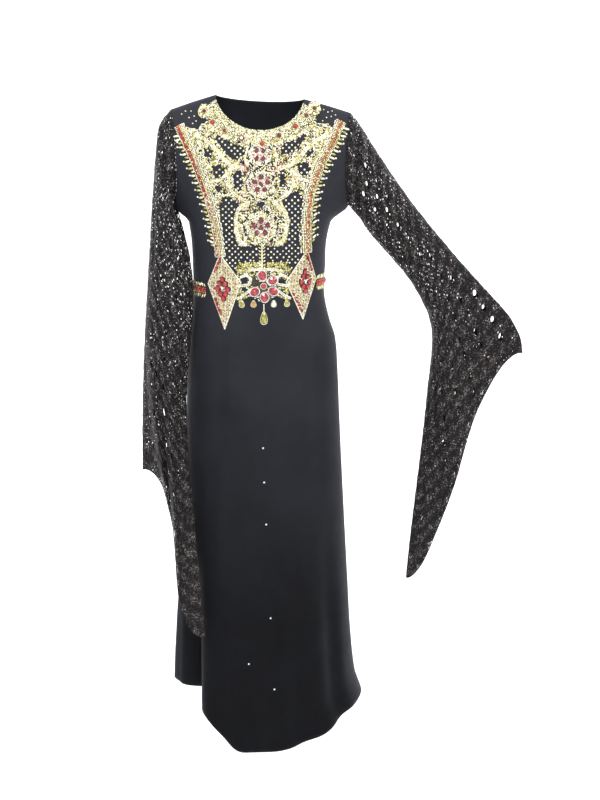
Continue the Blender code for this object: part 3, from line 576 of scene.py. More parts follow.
@dataclass(frozen=True)
class CrepeFinish:
    """Black stretch crepe: a fine pebbled weave with a faint bluish sheen, with painted light that makes its
    colour lighter towards the top and darker towards the hem.
    """

    name: str = "black_crepe"
    deep: tuple = (0.0011, 0.0012, 0.0019)
    light: tuple = (0.0028, 0.0031, 0.0048)
    # painted light: much lighter crepe colours for the top, standing for light that falls from above
    painted_lit_deep: tuple = (0.0165, 0.017, 0.0215)
    painted_lit_light: tuple = (0.03, 0.031, 0.0385)
    hem_level: float = -1.15
    top_level: float = -0.35
    pebble: float = 1500.0
    drift: float = 7.0

    def make(self) -> bpy.types.Material:
        """Build the material.

        Returns:
            The material.
        """
        bench = NodeBench(self.name)
        shade = bench.sum(bench.noise(self.drift, 4.0), bench.noise(self.pebble, 2.0), 0.25)
        low = bench.ramp(shade, ((0.35, self.deep), (0.85, self.light)))
        # painted light and shade: the blend by height makes the crepe lighter towards the top and darker
        # towards the hem
        high = bench.ramp(shade, ((0.35, self.painted_lit_deep), (0.85, self.painted_lit_light)))
        bench.colour(bench.mixed(bench.level(self.hem_level, self.top_level), low, high))
        bench.roughness(bench.scaled(bench.noise(60.0, 3.0), 0.56, 0.74))
        twist = bench.sum(bench.noise(self.pebble, 3.0), bench.bands(700.0, "Z", 3.0), 0.3)
        bench.bump(twist, 0.35, 0.0004)
        bench.plain(Sheen_Weight=0.08, Sheen_Roughness=0.45, Sheen_Tint=(0.6, 0.64, 0.8, 1.0))
        bench.plain(Specular_IOR_Level=0.11)
        return bench.material


@dataclass(frozen=True)
class LaceFinish:
    """Black lace: matt net threads and thicker, slightly shiny flowers and leaves, with painted glints
    speckled over both.
    """

    name: str = "black_lace"
    net: tuple = (0.0018, 0.0018, 0.0021)
    flower: tuple = (0.006, 0.0058, 0.0064)
    # painted glints: bright specks on the flowers and dimmer specks on the net, standing for light that
    # catches the threads
    painted_glint: tuple = (0.33, 0.275, 0.265)
    speck: tuple = (0.09, 0.07, 0.07)
    stitch: float = 900.0

    def make(self) -> bpy.types.Material:
        """Build the material.

        Returns:
            The material.
        """
        bench = NodeBench(self.name)
        # painted glints: noise turns parts of the net and the flowers into bright specks
        ground = bench.ramp(bench.noise(300.0, 3.0), ((0.56, self.net), (0.7, self.speck)))
        petals = bench.ramp(bench.noise(360.0, 4.0, 0.7), ((0.52, self.flower), (0.66, self.painted_glint)))
        bench.colour(bench.mixed(bench.named("flower"), ground, petals))
        bench.roughness(bench.scaled(bench.noise(400.0, 2.0), 0.45, 0.75))
        threads = bench.sum(bench.noise(self.stitch, 3.0), bench.cells(600.0), 0.6)
        bench.bump(threads, 0.7, 0.0008)
        bench.plain(Sheen_Weight=0.04, Sheen_Roughness=0.5, Sheen_Tint=(0.8, 0.8, 0.85, 1.0))
        bench.plain(Specular_IOR_Level=0.2)
        return bench.material


@dataclass(frozen=True)
class BeadFinish:
    """One kind of bead or stone: two colours that vary from bead to bead, and its shine."""

    name: str
    dark: tuple
    light: tuple
    roughness: float
    metal: float = 0.0
    coat: float = 0.0
    patches: float = 210.0

    def make(self) -> bpy.types.Material:
        """Build the material.

        Returns:
            The material.
        """
        bench = NodeBench(self.name)
        bench.colour(bench.ramp(bench.noise(self.patches, 1.0), ((0.36, self.dark), (0.64, self.light))))
        bench.roughness(bench.scaled(bench.noise(480.0, 2.0), self.roughness * 0.7, self.roughness * 1.4))
        bench.bump(bench.noise(1800.0, 2.0), 0.1, 0.0002)
        bench.plain(Metallic=self.metal, Coat_Weight=self.coat, Coat_Roughness=0.05)
        return bench.material


class Bead(Enum):
    """The finishes of the beadwork."""

    GOLD = BeadFinish("gold_bead", (0.58, 0.47, 0.17), (0.95, 0.88, 0.5), 0.26, 0.8)
    PALE = BeadFinish("pale_bead", (0.8, 0.76, 0.46), (1.0, 0.99, 0.82), 0.2, 0.3, 0.5)
    WHITE = BeadFinish("clear_crystal", (0.78, 0.79, 0.76), (1.0, 0.99, 0.96), 0.1, 0.1, 0.9)
    PINK = BeadFinish("rose_bead", (0.72, 0.42, 0.36), (0.95, 0.78, 0.7), 0.22, 0.2, 0.4)
    CORAL = BeadFinish("red_bead", (0.42, 0.03, 0.022), (0.74, 0.16, 0.1), 0.18, 0.1, 0.7)
    COPPER = BeadFinish("copper_bead", (0.52, 0.24, 0.12), (0.86, 0.58, 0.3), 0.26, 0.7)
    RED = BeadFinish("red_stone", (0.24, 0.004, 0.01), (0.5, 0.022, 0.034), 0.07, 0.0, 1.0)
    GARNET = BeadFinish("garnet_stone", (0.085, 0.004, 0.01), (0.22, 0.016, 0.026), 0.08, 0.0, 1.0)
    OLIVE = BeadFinish("olive_leaf_bead", (0.2, 0.2, 0.03), (0.58, 0.52, 0.12), 0.14, 0.25, 0.8)
    AMBER = BeadFinish("amber_stone", (0.42, 0.2, 0.02), (0.8, 0.52, 0.1), 0.09, 0.0, 1.0)
    THREAD = BeadFinish("gold_thread_pad", (0.014, 0.011, 0.007), (0.062, 0.048, 0.022), 0.55, 0.2, 0.0,
                        520.0)


# Beads and how they are sewn


class BeadCut(NamedTuple):
    """A unit bead's corners, its rings of width and height from the foot up, and its shading."""

    corners: int
    rings: tuple
    smooth: bool


class BeadShape(Enum):
    """The cuts of the beads."""

    ROUND = BeadCut(8, ((1.0, 0.0), (0.9, 0.5), (0.55, 0.88)), True)
    SEED = BeadCut(6, ((1.0, 0.0), (0.8, 0.66)), True)
    STONE = BeadCut(10, ((1.0, 0.0), (1.0, 0.4), (0.6, 0.95)), False)
    LEAF = BeadCut(10, ((1.0, 0.0), (0.62, 0.75)), True)
    DROP = BeadCut(12, ((1.0, 0.0), (1.0, 0.35), (0.58, 0.92)), False)


class BeadForm(NamedTuple):
    """A bead of unit half width, half length and height."""

    points: np.ndarray
    faces: list
    smooth: bool


def bead_form(shape: BeadShape) -> BeadForm:
    """Make the unit bead of one shape.

    Args:
        shape: its cut.

    Returns:
        The bead's points and faces.
    """
    count, rings, smooth = shape.value
    outline = []
    for n in range(count):
        angle = 2 * math.pi * n / count
        x, y = math.sin(angle), math.cos(angle)
        if shape is BeadShape.LEAF:
            x *= abs(x) ** 0.6
        if shape is BeadShape.DROP:
            x *= 0.78 - 0.34 * y
        outline.append((x, y))
    points = [(x * share, y * share, height) for share, height in rings for x, y in outline]
    points.append((0.0, 0.0, 1.0))
    faces = []
    for level in range(len(rings) - 1):
        for n in range(count):
            after = (n + 1) % count
            low, high = level * count, (level + 1) * count
            faces.append((low + after, low + n, high + n, high + after))
    top, crown = (len(rings) - 1) * count, len(rings) * count
    faces += [(top + (n + 1) % count, top + n, crown) for n in range(count)]
    return BeadForm(np.array(points), faces, smooth)


class ClothSurface:
    """Finds places on the outside of the finished front, so that beadwork follows it."""

    far_y: ClassVar[float] = -1.0
    near_y: ClassVar[float] = -0.08

    def __init__(self, obj: bpy.types.Object) -> None:
        """Keep a search tree of the front's outer cloth.

        Args:
            obj: the front, before it is given its thickness.
        """
        mesh = obj.data
        self.tree = BVHTree.FromPolygons(
            [vert.co.copy() for vert in mesh.vertices], [tuple(face.vertices) for face in mesh.polygons])

    def at(self, x: float, z: float) -> tuple:
        """Find a place on the front.

        Args:
            x: its place across.
            z: its place upwards.

        Returns:
            The point and its outward normal.
        """
        place, normal, _, _ = self.tree.ray_cast(Vector((x, self.far_y, z)), Vector((0.0, 1.0, 0.0)))
        if place is None:
            place, normal, _, _ = self.tree.find_nearest(Vector((x, self.near_y, z)))
        if normal.y > 0:
            normal = -normal
        return place, normal

    def lifted(self, x: float, z: float, lift: float) -> Vector:
        """A point that stands a lift above the front."""
        place, normal = self.at(x, z)
        return place + normal * lift


@dataclass
class BeadPiece:
    """A piece of beadwork, sewn onto the front as one mesh, and the solid that it stands for, if any."""

    name: str
    node: str
    slot: ClassVar[str] = "gold_beads"
    forms: ClassVar[dict] = {shape: bead_form(shape) for shape in BeadShape}
    surface: ClothSurface = field(init=False)
    luck: random.Random = field(init=False)
    points: list = field(init=False, default_factory=list)
    faces: list = field(init=False, default_factory=list)
    finishes: list = field(init=False, default_factory=list)
    smooth: list = field(init=False, default_factory=list)
    taken: list = field(init=False, default_factory=list)
    count: int = field(init=False, default=0)

    def lay(self) -> None:
        """Sew the beads on; every kind of piece has its own way."""
        raise NotImplementedError(self.name)

    def build(self, surface: ClothSurface, materials: dict) -> bpy.types.Object:
        """Make the piece.

        Args:
            surface: the front's outer cloth.
            materials: the bead materials by finish.

        Returns:
            The piece.
        """
        self.surface = surface
        self.luck = random.Random(self.name)
        self.lay()
        return self.finish(materials, (self.node,) if self.node else ())

    def free(self, x: float, z: float, radius: float) -> bool:
        """True where no stone of this piece lies."""
        return all(math.hypot(x - a, z - b) > radius + r for a, b, r in self.taken)

    def sew(self, shape: BeadShape, kind: Bead, x: float, z: float, size: Sequence[float],
            turn: float = 0.0, lift: float = 0.0) -> None:
        """Sew one bead on.

        Args:
            shape: its cut.
            kind: its finish.
            x: its place across.
            z: its place upwards.
            size: its half width, half length and height.
            turn: how far its length is turned from upright, in degrees, towards +X.
            lift: how high its foot stands above the cloth.
        """
        place, normal = self.surface.at(x, z)
        angle = math.radians(turn)
        heading = Vector((math.sin(angle), 0.0, math.cos(angle)))
        along = (heading - normal * heading.dot(normal)).normalized()
        across = along.cross(normal)
        frame_of = np.array([list(across * size[0]), list(along * size[1]), list(normal * size[2])])
        form = self.forms[shape]
        points = form.points @ frame_of + np.array(place + normal * (lift - BEAD_SINK))
        self.points.append(points)
        self.faces += [tuple(self.count + i for i in face) for face in form.faces]
        self.finishes += [kind] * len(form.faces)
        self.smooth += [form.smooth] * len(form.faces)
        self.count += len(points)

    def round(self, kind: Bead, x: float, z: float, radius: float, lift: float = 0.0) -> None:
        """Sew a round bead on."""
        self.sew(BeadShape.ROUND, kind, x, z, (radius, radius, radius * BEAD_HEIGHT), 0.0, lift)

    def seed(self, kind: Bead, x: float, z: float, radius: float, lift: float = 0.0) -> None:
        """Sew a small round bead on."""
        turn = self.luck.uniform(0, 60)
        self.sew(BeadShape.SEED, kind, x, z, (radius, radius, radius * BEAD_HEIGHT), turn, lift)

    def fill(self, box: Sequence[float], pitch: float, height_at: Callable, kinds: Sequence[Bead],
             radius: float, gaps: float = 0.0) -> None:
        """Sew small beads close together over an area.

        Args:
            box: the area's lowest x and z, and its highest x and z.
            pitch: the distance between neighbours.
            height_at: gives a bead's foot above the cloth at an x and z, or None where no bead lies.
            kinds: the finishes to draw from.
            radius: the usual radius of a bead.
            gaps: how wide the short winding gaps are, from 0 for none.
        """
        low_x, low_z, high_x, high_z = box
        for line in range(int((high_z - low_z) / (pitch * NEST)) + 1):
            for n in range(int((high_x - low_x) / pitch) + 1):
                x = low_x + (n + 0.5 * (line % 2) + self.luck.uniform(-0.2, 0.2)) * pitch
                z = low_z + (line * NEST + self.luck.uniform(-0.2, 0.2)) * pitch
                if winding(x, z) < gaps or not self.free(x, z, radius * 0.5):
                    continue
                height = height_at(x, z)
                if height is not None:
                    self.seed(self.luck.choice(kinds), x, z, radius * self.luck.uniform(0.75, 1.2), height)

    def stone(self, kind: Bead, x: float, z: float, size: Sequence[float], turn: float = 0.0,
              lift: float = 0.0, halo: Bead | None = Bead.PALE, halo_bead: float = 0.0011) -> None:
        """Sew a cut stone on, with a ring of small beads round it.

        Args:
            kind: its finish.
            x: its place across.
            z: its place upwards.
            size: its half width and half length.
            turn: how far its length is turned from upright, in degrees, towards +X.
            lift: how high its foot stands above the cloth.
            halo: the finish of the ring's beads, or None for no ring.
            halo_bead: the radius of the ring's beads.
        """
        wide, long = size
        self.sew(BeadShape.STONE, kind, x, z, (wide, long, 0.42 * wide + 0.0008), turn, lift)
        self.taken.append((x, z, max(wide, long) + (halo_bead if halo else 0.0)))
        if halo is None:
            return
        around = math.pi * (wide + long + 2 * halo_bead)
        count = max(8, round(around / (HALO_SPACING * halo_bead)))
        for n in range(count):
            angle = 2 * math.pi * n / count
            a, b = (wide + halo_bead) * math.sin(angle), (long + halo_bead) * math.cos(angle)
            c, s = math.cos(math.radians(turn)), math.sin(math.radians(turn))
            self.seed(halo, x + a * c + b * s, z - a * s + b * c, halo_bead, lift)

    def pad(self, rows: Sequence[Sequence[tuple]], kind: Bead = Bead.THREAD) -> None:
        """Lay a raised pad under the beads.

        Args:
            rows: its rows of (x, z, height), where the height is 0 along its edges.
            kind: its finish.
        """
        wide = len(rows[0])
        start = self.count
        for row in rows:
            for x, z, height in row:
                self.points.append(np.array([self.surface.lifted(x, z, height)]))
                self.count += 1
        for r in range(len(rows) - 1):
            for c in range(wide - 1):
                a = start + r * wide + c
                self.faces.append((a, a + wide, a + wide + 1, a + 1))
                self.finishes.append(kind)
                self.smooth.append(True)

    def dome(self, x: float, z: float, half: Sequence[float], levels: Sequence[tuple], steps: int,
             rim: Callable = lambda angle: 1.0) -> None:
        """Lay a round or oval pad that rises towards its middle.

        Args:
            x: the middle's place across.
            z: the middle's place upwards.
            half: its half width and half height.
            levels: pairs of a share of the way out and the height there, from the edge inwards.
            steps: how many steps go round it.
            rim: gives the reach at an angle, as a share of the half sizes.
        """
        rows = []
        for share, height in levels:
            row = []
            for n in range(steps + 1):
                angle = 2 * math.pi * n / steps
                reach = share * rim(angle)
                a, b = half[0] * reach * math.sin(angle), half[1] * reach * math.cos(angle)
                row.append((x + a, z + b, height))
            rows.append(row)
        self.pad(rows)

    def finish(self, materials: dict, replaces: Sequence[str] = ()) -> bpy.types.Object:
        """Make the piece's mesh, dress it, and put it on the gown.

        Args:
            materials: the bead materials by finish.
            replaces: the solids that the piece stands for.

        Returns:
            The piece.
        """
        obj = mesh_object(self.name, np.concatenate(self.points).tolist(), self.faces, False)
        kinds = sorted(set(self.finishes), key=lambda kind: kind.name)
        for kind in kinds:
            obj.data.materials.append(materials[kind])
        order = {kind: at for at, kind in enumerate(kinds)}
        obj.data.polygons.foreach_set("material_index", [order[kind] for kind in self.finishes])
        obj.data.polygons.foreach_set("use_smooth", self.smooth)
        obj.data.update()
        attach(obj, "root")
        if replaces:
            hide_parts(*replaces)
        log.info("%s: %d faces", self.name, len(self.faces))
        return obj


# The gown's cloth


def top_edge(across: float, face: Face) -> Vector:
    """Find a point of a panel's top edge: shoulder seam, neckline, shoulder seam.

    Args:
        across: the place along the edge, from -1 at the left tip to 1 at the right one.
        face: the front or the back.

    Returns:
        The point.
    """
    gap = face.value * SEAM_GAP / 2
    if abs(across) <= NECK_SHARE:
        turn = math.radians(90 * across / NECK_SHARE)
        share = (1 + math.sin(turn)) / 2
        x = NECK_LEFT[0] + (NECK_RIGHT[0] - NECK_LEFT[0]) * share
        z = NECK_LEFT[1] + (NECK_RIGHT[1] - NECK_LEFT[1]) * share
        reach = NECK_FRONT_REACH if face is Face.FRONT else NECK_BACK_REACH
        drop = NECK_FRONT_DROP if face is Face.FRONT else NECK_BACK_DROP
        towards = max(math.cos(turn), 0.0)
        return Vector((x, gap + face.value * reach * towards, z - drop * towards**NECK_CURVE))
    along = (abs(across) - NECK_SHARE) / (1 - NECK_SHARE)
    neck, tip = (NECK_LEFT, TIP_LEFT) if across < 0 else (NECK_RIGHT, TIP_RIGHT)
    x = neck[0] + (tip[0] - neck[0]) * along
    z = neck[1] + (tip[1] - neck[1]) * along + SHOULDER_RISE * math.sin(math.pi * along)
    return Vector((x, gap, z))


def arrival(across: float, face: Face) -> Vector:
    """Find the direction in which the cloth reaches its top edge: up, over, and in to the neck.

    Args:
        across: the place along the edge, from -1 at the left tip to 1 at the right one.
        face: the front or the back.

    Returns:
        The unit direction.
    """
    lean = NECK_LEAN_OVER_FRONT if face is Face.FRONT else NECK_LEAN_OVER_BACK
    side = math.copysign(1.0, across)
    if abs(across) <= NECK_SHARE:
        share = abs(across) / NECK_SHARE
        inwards = NECK_LEAN_IN * share**2
        over = lean + (SEAM_LEAN_OVER - lean) * share
        up = 1.0 + (SEAM_LEAN_UP - 1.0) * share
    else:
        share = (abs(across) - NECK_SHARE) / (1 - NECK_SHARE)
        inwards = NECK_LEAN_IN * (1 - share) ** 2
        over = SEAM_LEAN_OVER + (TIP_LEAN_OVER - SEAM_LEAN_OVER) * share
        up = SEAM_LEAN_UP + (TIP_LEAN_UP - SEAM_LEAN_UP) * share
    return Vector((-side * inwards, -face.value * over, up)).normalized()


def armhole_edge(side: Side, shares: np.ndarray, face: Face) -> np.ndarray:
    """Find points of an armhole's edge.

    Args:
        side: the armhole's side.
        shares: the places, from 0 at its foot to 1 at the shoulder.
        face: the front or the back.

    Returns:
        The points.
    """
    top = TIP_LEFT if side is Side.LEFT else TIP_RIGHT
    foot = ARMHOLE_FOOT_LEFT if side is Side.LEFT else ARMHOLE_FOOT_RIGHT
    angle = np.pi * (1 - shares)
    down = (1 - np.cos(angle)) / 2
    bulge = np.sin(angle)
    x = top[0] + (foot[0] - top[0]) * down - side.value * ARMHOLE_BOW * bulge
    z = top[1] + (foot[1] - top[1]) * down
    deep = ARMHOLE_DEPTH * bulge * (1 - ARMHOLE_TAPER * down)
    return np.stack((x, face.value * (SEAM_GAP / 2 + deep), z), axis=-1)


@dataclass
class GownPanel:
    """The front or the back of the gown: one crepe panel from the hem to the shoulders."""

    name: str
    face: Face
    creases: tuple
    flat: tuple
    area: float
    columns: int = 112
    skirt_rows: int = 134
    yoke_rows: int = 40
    wander: float = 0.0006
    seam_hold: float = 9.0
    top_hold: float = 5.0
    across: np.ndarray = field(init=False)
    around: np.ndarray = field(init=False)
    hem: np.ndarray = field(init=False)

    def __post_init__(self) -> None:
        """Space the panel's columns evenly round the body, and find the hem under each."""
        self.across = np.linspace(-1.0, 1.0, self.columns + 1)
        turn = 90 * self.across
        self.around = turn if self.face is Face.FRONT else 180 - turn
        self.hem = np.array([blend(HEM, "turn", (a + 180) % 360 - 180).height for a in self.around])

    def ring(self, height: float, reach: float = UNDERARM_REACH) -> np.ndarray:
        """Find the points of one level of the body below the underarm.

        Args:
            height: the level at the side seam.
            reach: how far the cloth flares out to the underarm.

        Returns:
            One point for every column.
        """
        girth = blend(GIRTHS, "height", height)
        turn = 90 * self.across
        sideways, towards = np.sin(np.radians(turn)), np.cos(np.radians(turn))
        flare = reach * (1 - ease((UNDERARM - height) / UNDERARM_FADE))
        deep = girth.front if self.face is Face.FRONT else girth.back
        x, y = girth.middle + girth.half * sideways, self.face.value * deep * towards
        pull = np.zeros_like(x)
        for fold in SKIRT_FOLDS:
            away = (self.around - fold.turn + 180) % 360 - 180
            grown = ease((fold.top - height) / (fold.top - SIDE_HEM))
            pull += fold.depth * hump(away, fold.spread) * grown
        kept = 1 - pull / np.hypot(x, y)
        x, y = x * kept + flare * sideways**UNDERARM_SHARPNESS, y * kept + self.face.value * SEAM_GAP / 2
        low = float(ease((HEM_DROP_START - height) / (HEM_DROP_START - SIDE_HEM)))
        return np.stack((x, y, height + low * (self.hem - SIDE_HEM)), axis=-1)

    def yoke(self) -> np.ndarray:
        """Find the points from the underarm level up to the shoulders and the neckline.

        Returns:
            The points, in rows upwards.
        """
        rise = np.linspace(0.0, 1.0, self.yoke_rows + 1)[:, None, None]
        start = self.ring(UNDERARM)[None]
        level, below = self.ring(UNDERARM, 0.0)[None], self.ring(UNDERARM - UNDERARM_LEAD, 0.0)[None]
        end = np.array([top_edge(a, self.face) for a in self.across])[None]
        length = np.linalg.norm(end - start, axis=2, keepdims=True)
        leave = (level - below) / np.linalg.norm(level - below, axis=2, keepdims=True) * length
        arrive = np.array([arrival(a, self.face) for a in self.across])[None] * length
        points = hermite(start, leave, end, arrive, rise)
        for side, column in ((Side.LEFT, 0), (Side.RIGHT, -1)):
            share = np.maximum(side.value * self.across, 0.0)[None, :, None] ** YOKE_SHARPNESS
            hole = armhole_edge(side, rise[:, 0, 0], self.face)
            points = points + (hole - points[:, column])[:, None] * share
        return points

    def grid(self) -> np.ndarray:
        """Find the panel's outer points, with its creases.

        Returns:
            The points, in rows from the hem to the shoulders.
        """
        heights = np.linspace(SIDE_HEM, UNDERARM, self.skirt_rows, endpoint=False)
        points = np.concatenate((np.array([self.ring(height) for height in heights]), self.yoke()))
        normals = grid_normals(points, float(self.face.value))
        inwards = np.zeros(points.shape[:2])
        for crease in self.creases:
            ends = (crease.x, crease.z, crease.x_end, crease.z_end)
            inwards += crease.depth * line_strength(points[..., 0], points[..., 2], ends, crease.width)
        wander = self.wander * np.sin(points[..., 2] * 41 + points[..., 0] * 23)
        inwards += wander * np.sin(points[..., 0] * 57 - points[..., 2] * 17)
        edge = np.minimum(1.0, (1 - np.abs(self.across)) * self.seam_hold)[None]
        top = np.minimum(1.0, np.arange(len(points))[::-1] / self.top_hold)[:, None]
        return points - normals * (inwards * edge * top)[..., None]

    def build(self, material: bpy.types.Material) -> bpy.types.Object:
        """Make the panel's outer cloth.

        Args:
            material: the crepe.

        Returns:
            The panel, without its thickness.
        """
        points = self.grid()
        rows, columns = points.shape[:2]
        faces = []
        for r in range(rows - 1):
            for c in range(columns - 1):
                a = r * columns + c
                quad = (a, a + 1, a + columns + 1, a + columns)
                faces.append(quad if self.face is Face.FRONT else quad[::-1])
        obj = mesh_object(self.name, points.reshape(-1, 3).tolist(), faces)
        obj.data.materials.append(material)
        return obj

    def dress(self, obj: bpy.types.Object) -> None:
        """Args:
            obj: the panel's outer cloth.
        """
        solid = obj.modifiers.new("cloth_thickness", "SOLIDIFY")
        solid.thickness = CREPE
        solid.offset = -1.0
        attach(obj, "root")
        word = self.face.name.lower()
        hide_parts(*(f"{word}_{band}" for band in PANEL_BANDS))
        log.info("%s: %d faces", self.name, len(obj.data.polygons))


class GapPlace(NamedTuple):
    """A large gap of the lace, by its middle and half sizes in cells of the sleeve."""

    across: float
    along: float
    half_across: float
    half_along: float


def neighbours(a: np.ndarray, b: np.ndarray, pitch: float, tall: float) -> Iterator[tuple]:
    """Go through the nine cells of a brick pattern that lie nearest to each place.

    Args:
        a: how far each place lies across.
        b: how far each place lies along.
        pitch: the width of a cell.
        tall: the height of a cell.

    Returns:
        For each of the nine: its number in its row, the row's number, and the row's shift in cells.
    """
    row = np.floor(b / tall)
    for step_row in (-1, 0, 1):
        line = row + step_row
        shift = np.where(line % 2 == 0, 0.0, 0.5)
        column = np.floor(a / pitch - shift)
        for step in (-1, 0, 1):
            yield column + step, line, shift


@dataclass
class LaceHalf:
    """One half of a sleeve: a sheet of flower lace from the armhole to the pointed hem."""

    name: str
    side: Side
    face: Face
    rows: tuple
    ripples: tuple
    rucks: tuple
    flat: tuple
    area: float
    columns: int = 162
    lines: int = 372
    net_pitch: float = 0.0088
    net_thread: float = 0.00225
    net_thicker: float = 0.00045
    net_stray: float = 0.42
    flower_pitch: float = 0.036
    flower_radius: float = 0.0135
    flower_stray: float = 0.22
    flower_rise: float = 0.0006
    leaf_long: float = 0.0095
    leaf_wide: float = 0.0036
    edge_tape: float = 0.0045
    edge_more: float = 0.0004
    cut_least: float = 0.08
    gap_rim: float = 1.3
    gap_reach: float = 1.7
    gap_cord: float = 0.0014
    gap_scale: float = 0.004
    flower_fade: float = 0.0012

    def section(self, share: float, angles: np.ndarray) -> np.ndarray:
        """Find the points of one section.

        Args:
            share: how far down the sleeve it lies, from 0 to 1.
            angles: the places round it, from 0 at the top fold to pi at the underarm seam.

        Returns:
            The points.
        """
        row = blend(self.rows, "share", share)
        top = np.array((row.top_x, row.top_y, row.top_z))
        under = np.array((row.under_x, row.under_y, row.under_z))
        down = (1 - np.cos(angles)) / 2
        out = np.array((top[2] - under[2], 0.0, under[0] - top[0]))
        out *= self.side.value / np.linalg.norm(out)
        taper = ARMHOLE_TAPER + (SLEEVE_TAPER - ARMHOLE_TAPER) * share
        deep = row.depth * np.sin(angles) * (1 - taper * down)
        swung = row.bow * np.sin(angles) + row.swing * np.sin(2 * angles)
        points = top + (under - top) * down[:, None] + out * swung[:, None]
        for ripple in self.ripples:
            grown = ease((share - ripple.start) / (1 - ripple.start))
            points[:, 1] += ripple.depth * hump(down - ripple.across, ripple.spread) * grown
        points[:, 1] += self.face.value * (SEAM_GAP / 2 + deep)
        if share == 0.0:
            points = armhole_edge(self.side, 1 - angles / np.pi, self.face)
            points[:, 0] += self.side.value * SEAM_GAP * (1 + down)
        return points

    def gap_places(self) -> list:
        """Place the large gaps in the largest cells, away from the seams.

        Returns:
            Their places.
        """
        angles = np.linspace(0.0, np.pi, SLEEVE_CELLS_ACROSS + 1)
        grid = np.array([self.section(n / SLEEVE_CELLS_ALONG, angles) for n in range(SLEEVE_CELLS_ALONG + 1)])
        sizes = []
        for r in range(1, SLEEVE_CELLS_ALONG - 1):
            for c in range(1, SLEEVE_CELLS_ACROSS - 1):
                wide = np.linalg.norm(grid[r, c + 1] - grid[r, c])
                long = np.linalg.norm(grid[r + 1, c] - grid[r, c])
                sizes.append((min(wide, long), r, c, wide, long))
        places = []
        for _, r, c, wide, long in sorted(sizes, reverse=True)[:GAPS_A_HALF]:
            seed = r * (SLEEVE_CELLS_ACROSS + 1) + c
            size = GAP_LEAST + (GAP_MOST - GAP_LEAST) * chances(seed + 0.3)
            across = c + 0.5 + GAP_STRAY_ACROSS * (chances(seed + 0.7) - 0.5)
            along = r + 0.5 + GAP_STRAY_ALONG * (chances(seed + 1.9) - 0.5)
            half_across = min(size / 2 / wide, GAP_SHARE) * GAP_WIDER
            half_along = min(size * GAP_LONG / long, GAP_SHARE) * GAP_WIDER
            places.append(GapPlace(across, along, half_across, half_along))
        return places

    def cloth(self) -> tuple:
        """Find the points of the half, with its rucks.

        Returns:
            The points, the normals, and how far each point lies across and along the flat cloth.
        """
        angles = np.linspace(0.0, np.pi, self.columns + 1)
        shares = np.linspace(0.0, 1.0, self.lines + 1)
        points = np.array([self.section(share, angles) for share in shares])
        steps = np.linalg.norm(np.diff(points, axis=1), axis=2)
        across = np.concatenate((np.zeros((len(points), 1)), np.cumsum(steps, axis=1)), axis=1)
        runs = np.linalg.norm(np.diff(points, axis=0), axis=2)
        along = np.concatenate((np.zeros((1, self.columns + 1)), np.cumsum(runs, axis=0)), axis=0)
        normals = grid_normals(points, float(self.face.value * self.side.value))
        down = np.broadcast_to(angles / np.pi, across.shape)
        share = np.broadcast_to(shares[:, None], across.shape)
        inwards = np.zeros(across.shape)
        long, wide = along[-1].mean(), across.mean(axis=0)[-1]
        for ruck in self.rucks:
            ends = (ruck.along * long, ruck.across * wide, ruck.along_end * long, ruck.across_end * wide)
            inwards += ruck.depth * line_strength(share * long, down * wide, ends, ruck.width)
        hold = np.minimum(1.0, np.minimum(down, 1 - down) * 12) * np.minimum(1.0, share * 40)
        return points - normals * (inwards * hold)[..., None], normals, across, along

    def net(self, a: np.ndarray, b: np.ndarray) -> np.ndarray:
        """Draw the ground net, denser towards the hem.

        Args:
            a: how far each place lies across.
            b: how far each place lies along.

        Returns:
            How far each place lies inside a thread, in metres, and negative in a hole.
        """
        pitch = self.net_pitch
        nearest = np.full(a.shape, 1.0)
        second = np.full(a.shape, 1.0)
        for cell, line, shift in neighbours(a, b, pitch, pitch * NEST):
            seed = cell * 7.13 + line * 31.7
            x = (cell + 0.5 + shift + self.net_stray * (chances(seed) - 0.5)) * pitch
            y = (line + 0.5 + self.net_stray * (chances(seed + 4.1) - 0.5)) * pitch * NEST
            away = np.hypot(a - x, b - y)
            second = np.minimum(second, np.maximum(nearest, away))
            nearest = np.minimum(nearest, away)
        dense = self.net_thicker * ease((b / b[-1] - 0.3) / 0.35)
        return self.net_thread + dense - (second - nearest) / 2

    def flowers(self, a: np.ndarray, b: np.ndarray) -> tuple:
        """Draw the raised flowers and leaves.

        Args:
            a: how far each place lies across.
            b: how far each place lies along.

        Returns:
            How far each place lies inside a flower or leaf, and how far inside a slit of one.
        """
        pitch, inside, slit = self.flower_pitch, np.full(a.shape, -1.0), np.full(a.shape, -1.0)
        for cell, line, shift in neighbours(a, b, pitch, pitch):
            seed = cell * 3.71 + line * 17.3 + 5.0
            x = (cell + 0.5 + shift + self.flower_stray * (chances(seed) - 0.5)) * pitch
            y = (line + 0.5 + self.flower_stray * (chances(seed + 2.7) - 0.5)) * pitch
            radius = self.flower_radius * (0.8 + 0.3 * chances(seed + 7.9))
            away, heading = np.hypot(a - x, b - y), np.arctan2(b - y, a - x) + 6.3 * chances(seed + 1.3)
            petal = np.abs(np.cos(2.5 * heading))
            inside = np.maximum(inside, radius * (0.58 + 0.42 * petal) - away)
            between = 0.0011 - away * np.abs(np.sin(np.arccos(np.clip(petal, 0, 1)) / 2.5 - np.pi / 5))
            in_ring = np.minimum(away - 0.3 * radius, 0.66 * radius - away)
            slit = np.maximum(slit, np.minimum(between, in_ring))
            lean = 6.3 * chances(seed + 9.4)
            u, v = a - x - 0.5 * pitch, b - y - 0.12 * pitch
            long, wide = u * np.cos(lean) + v * np.sin(lean), v * np.cos(lean) - u * np.sin(lean)
            leaf = 1 - np.sqrt((long / self.leaf_long) ** 2 + (wide / self.leaf_wide) ** 2)
            inside = np.maximum(inside, leaf * self.leaf_wide)
        return inside, slit

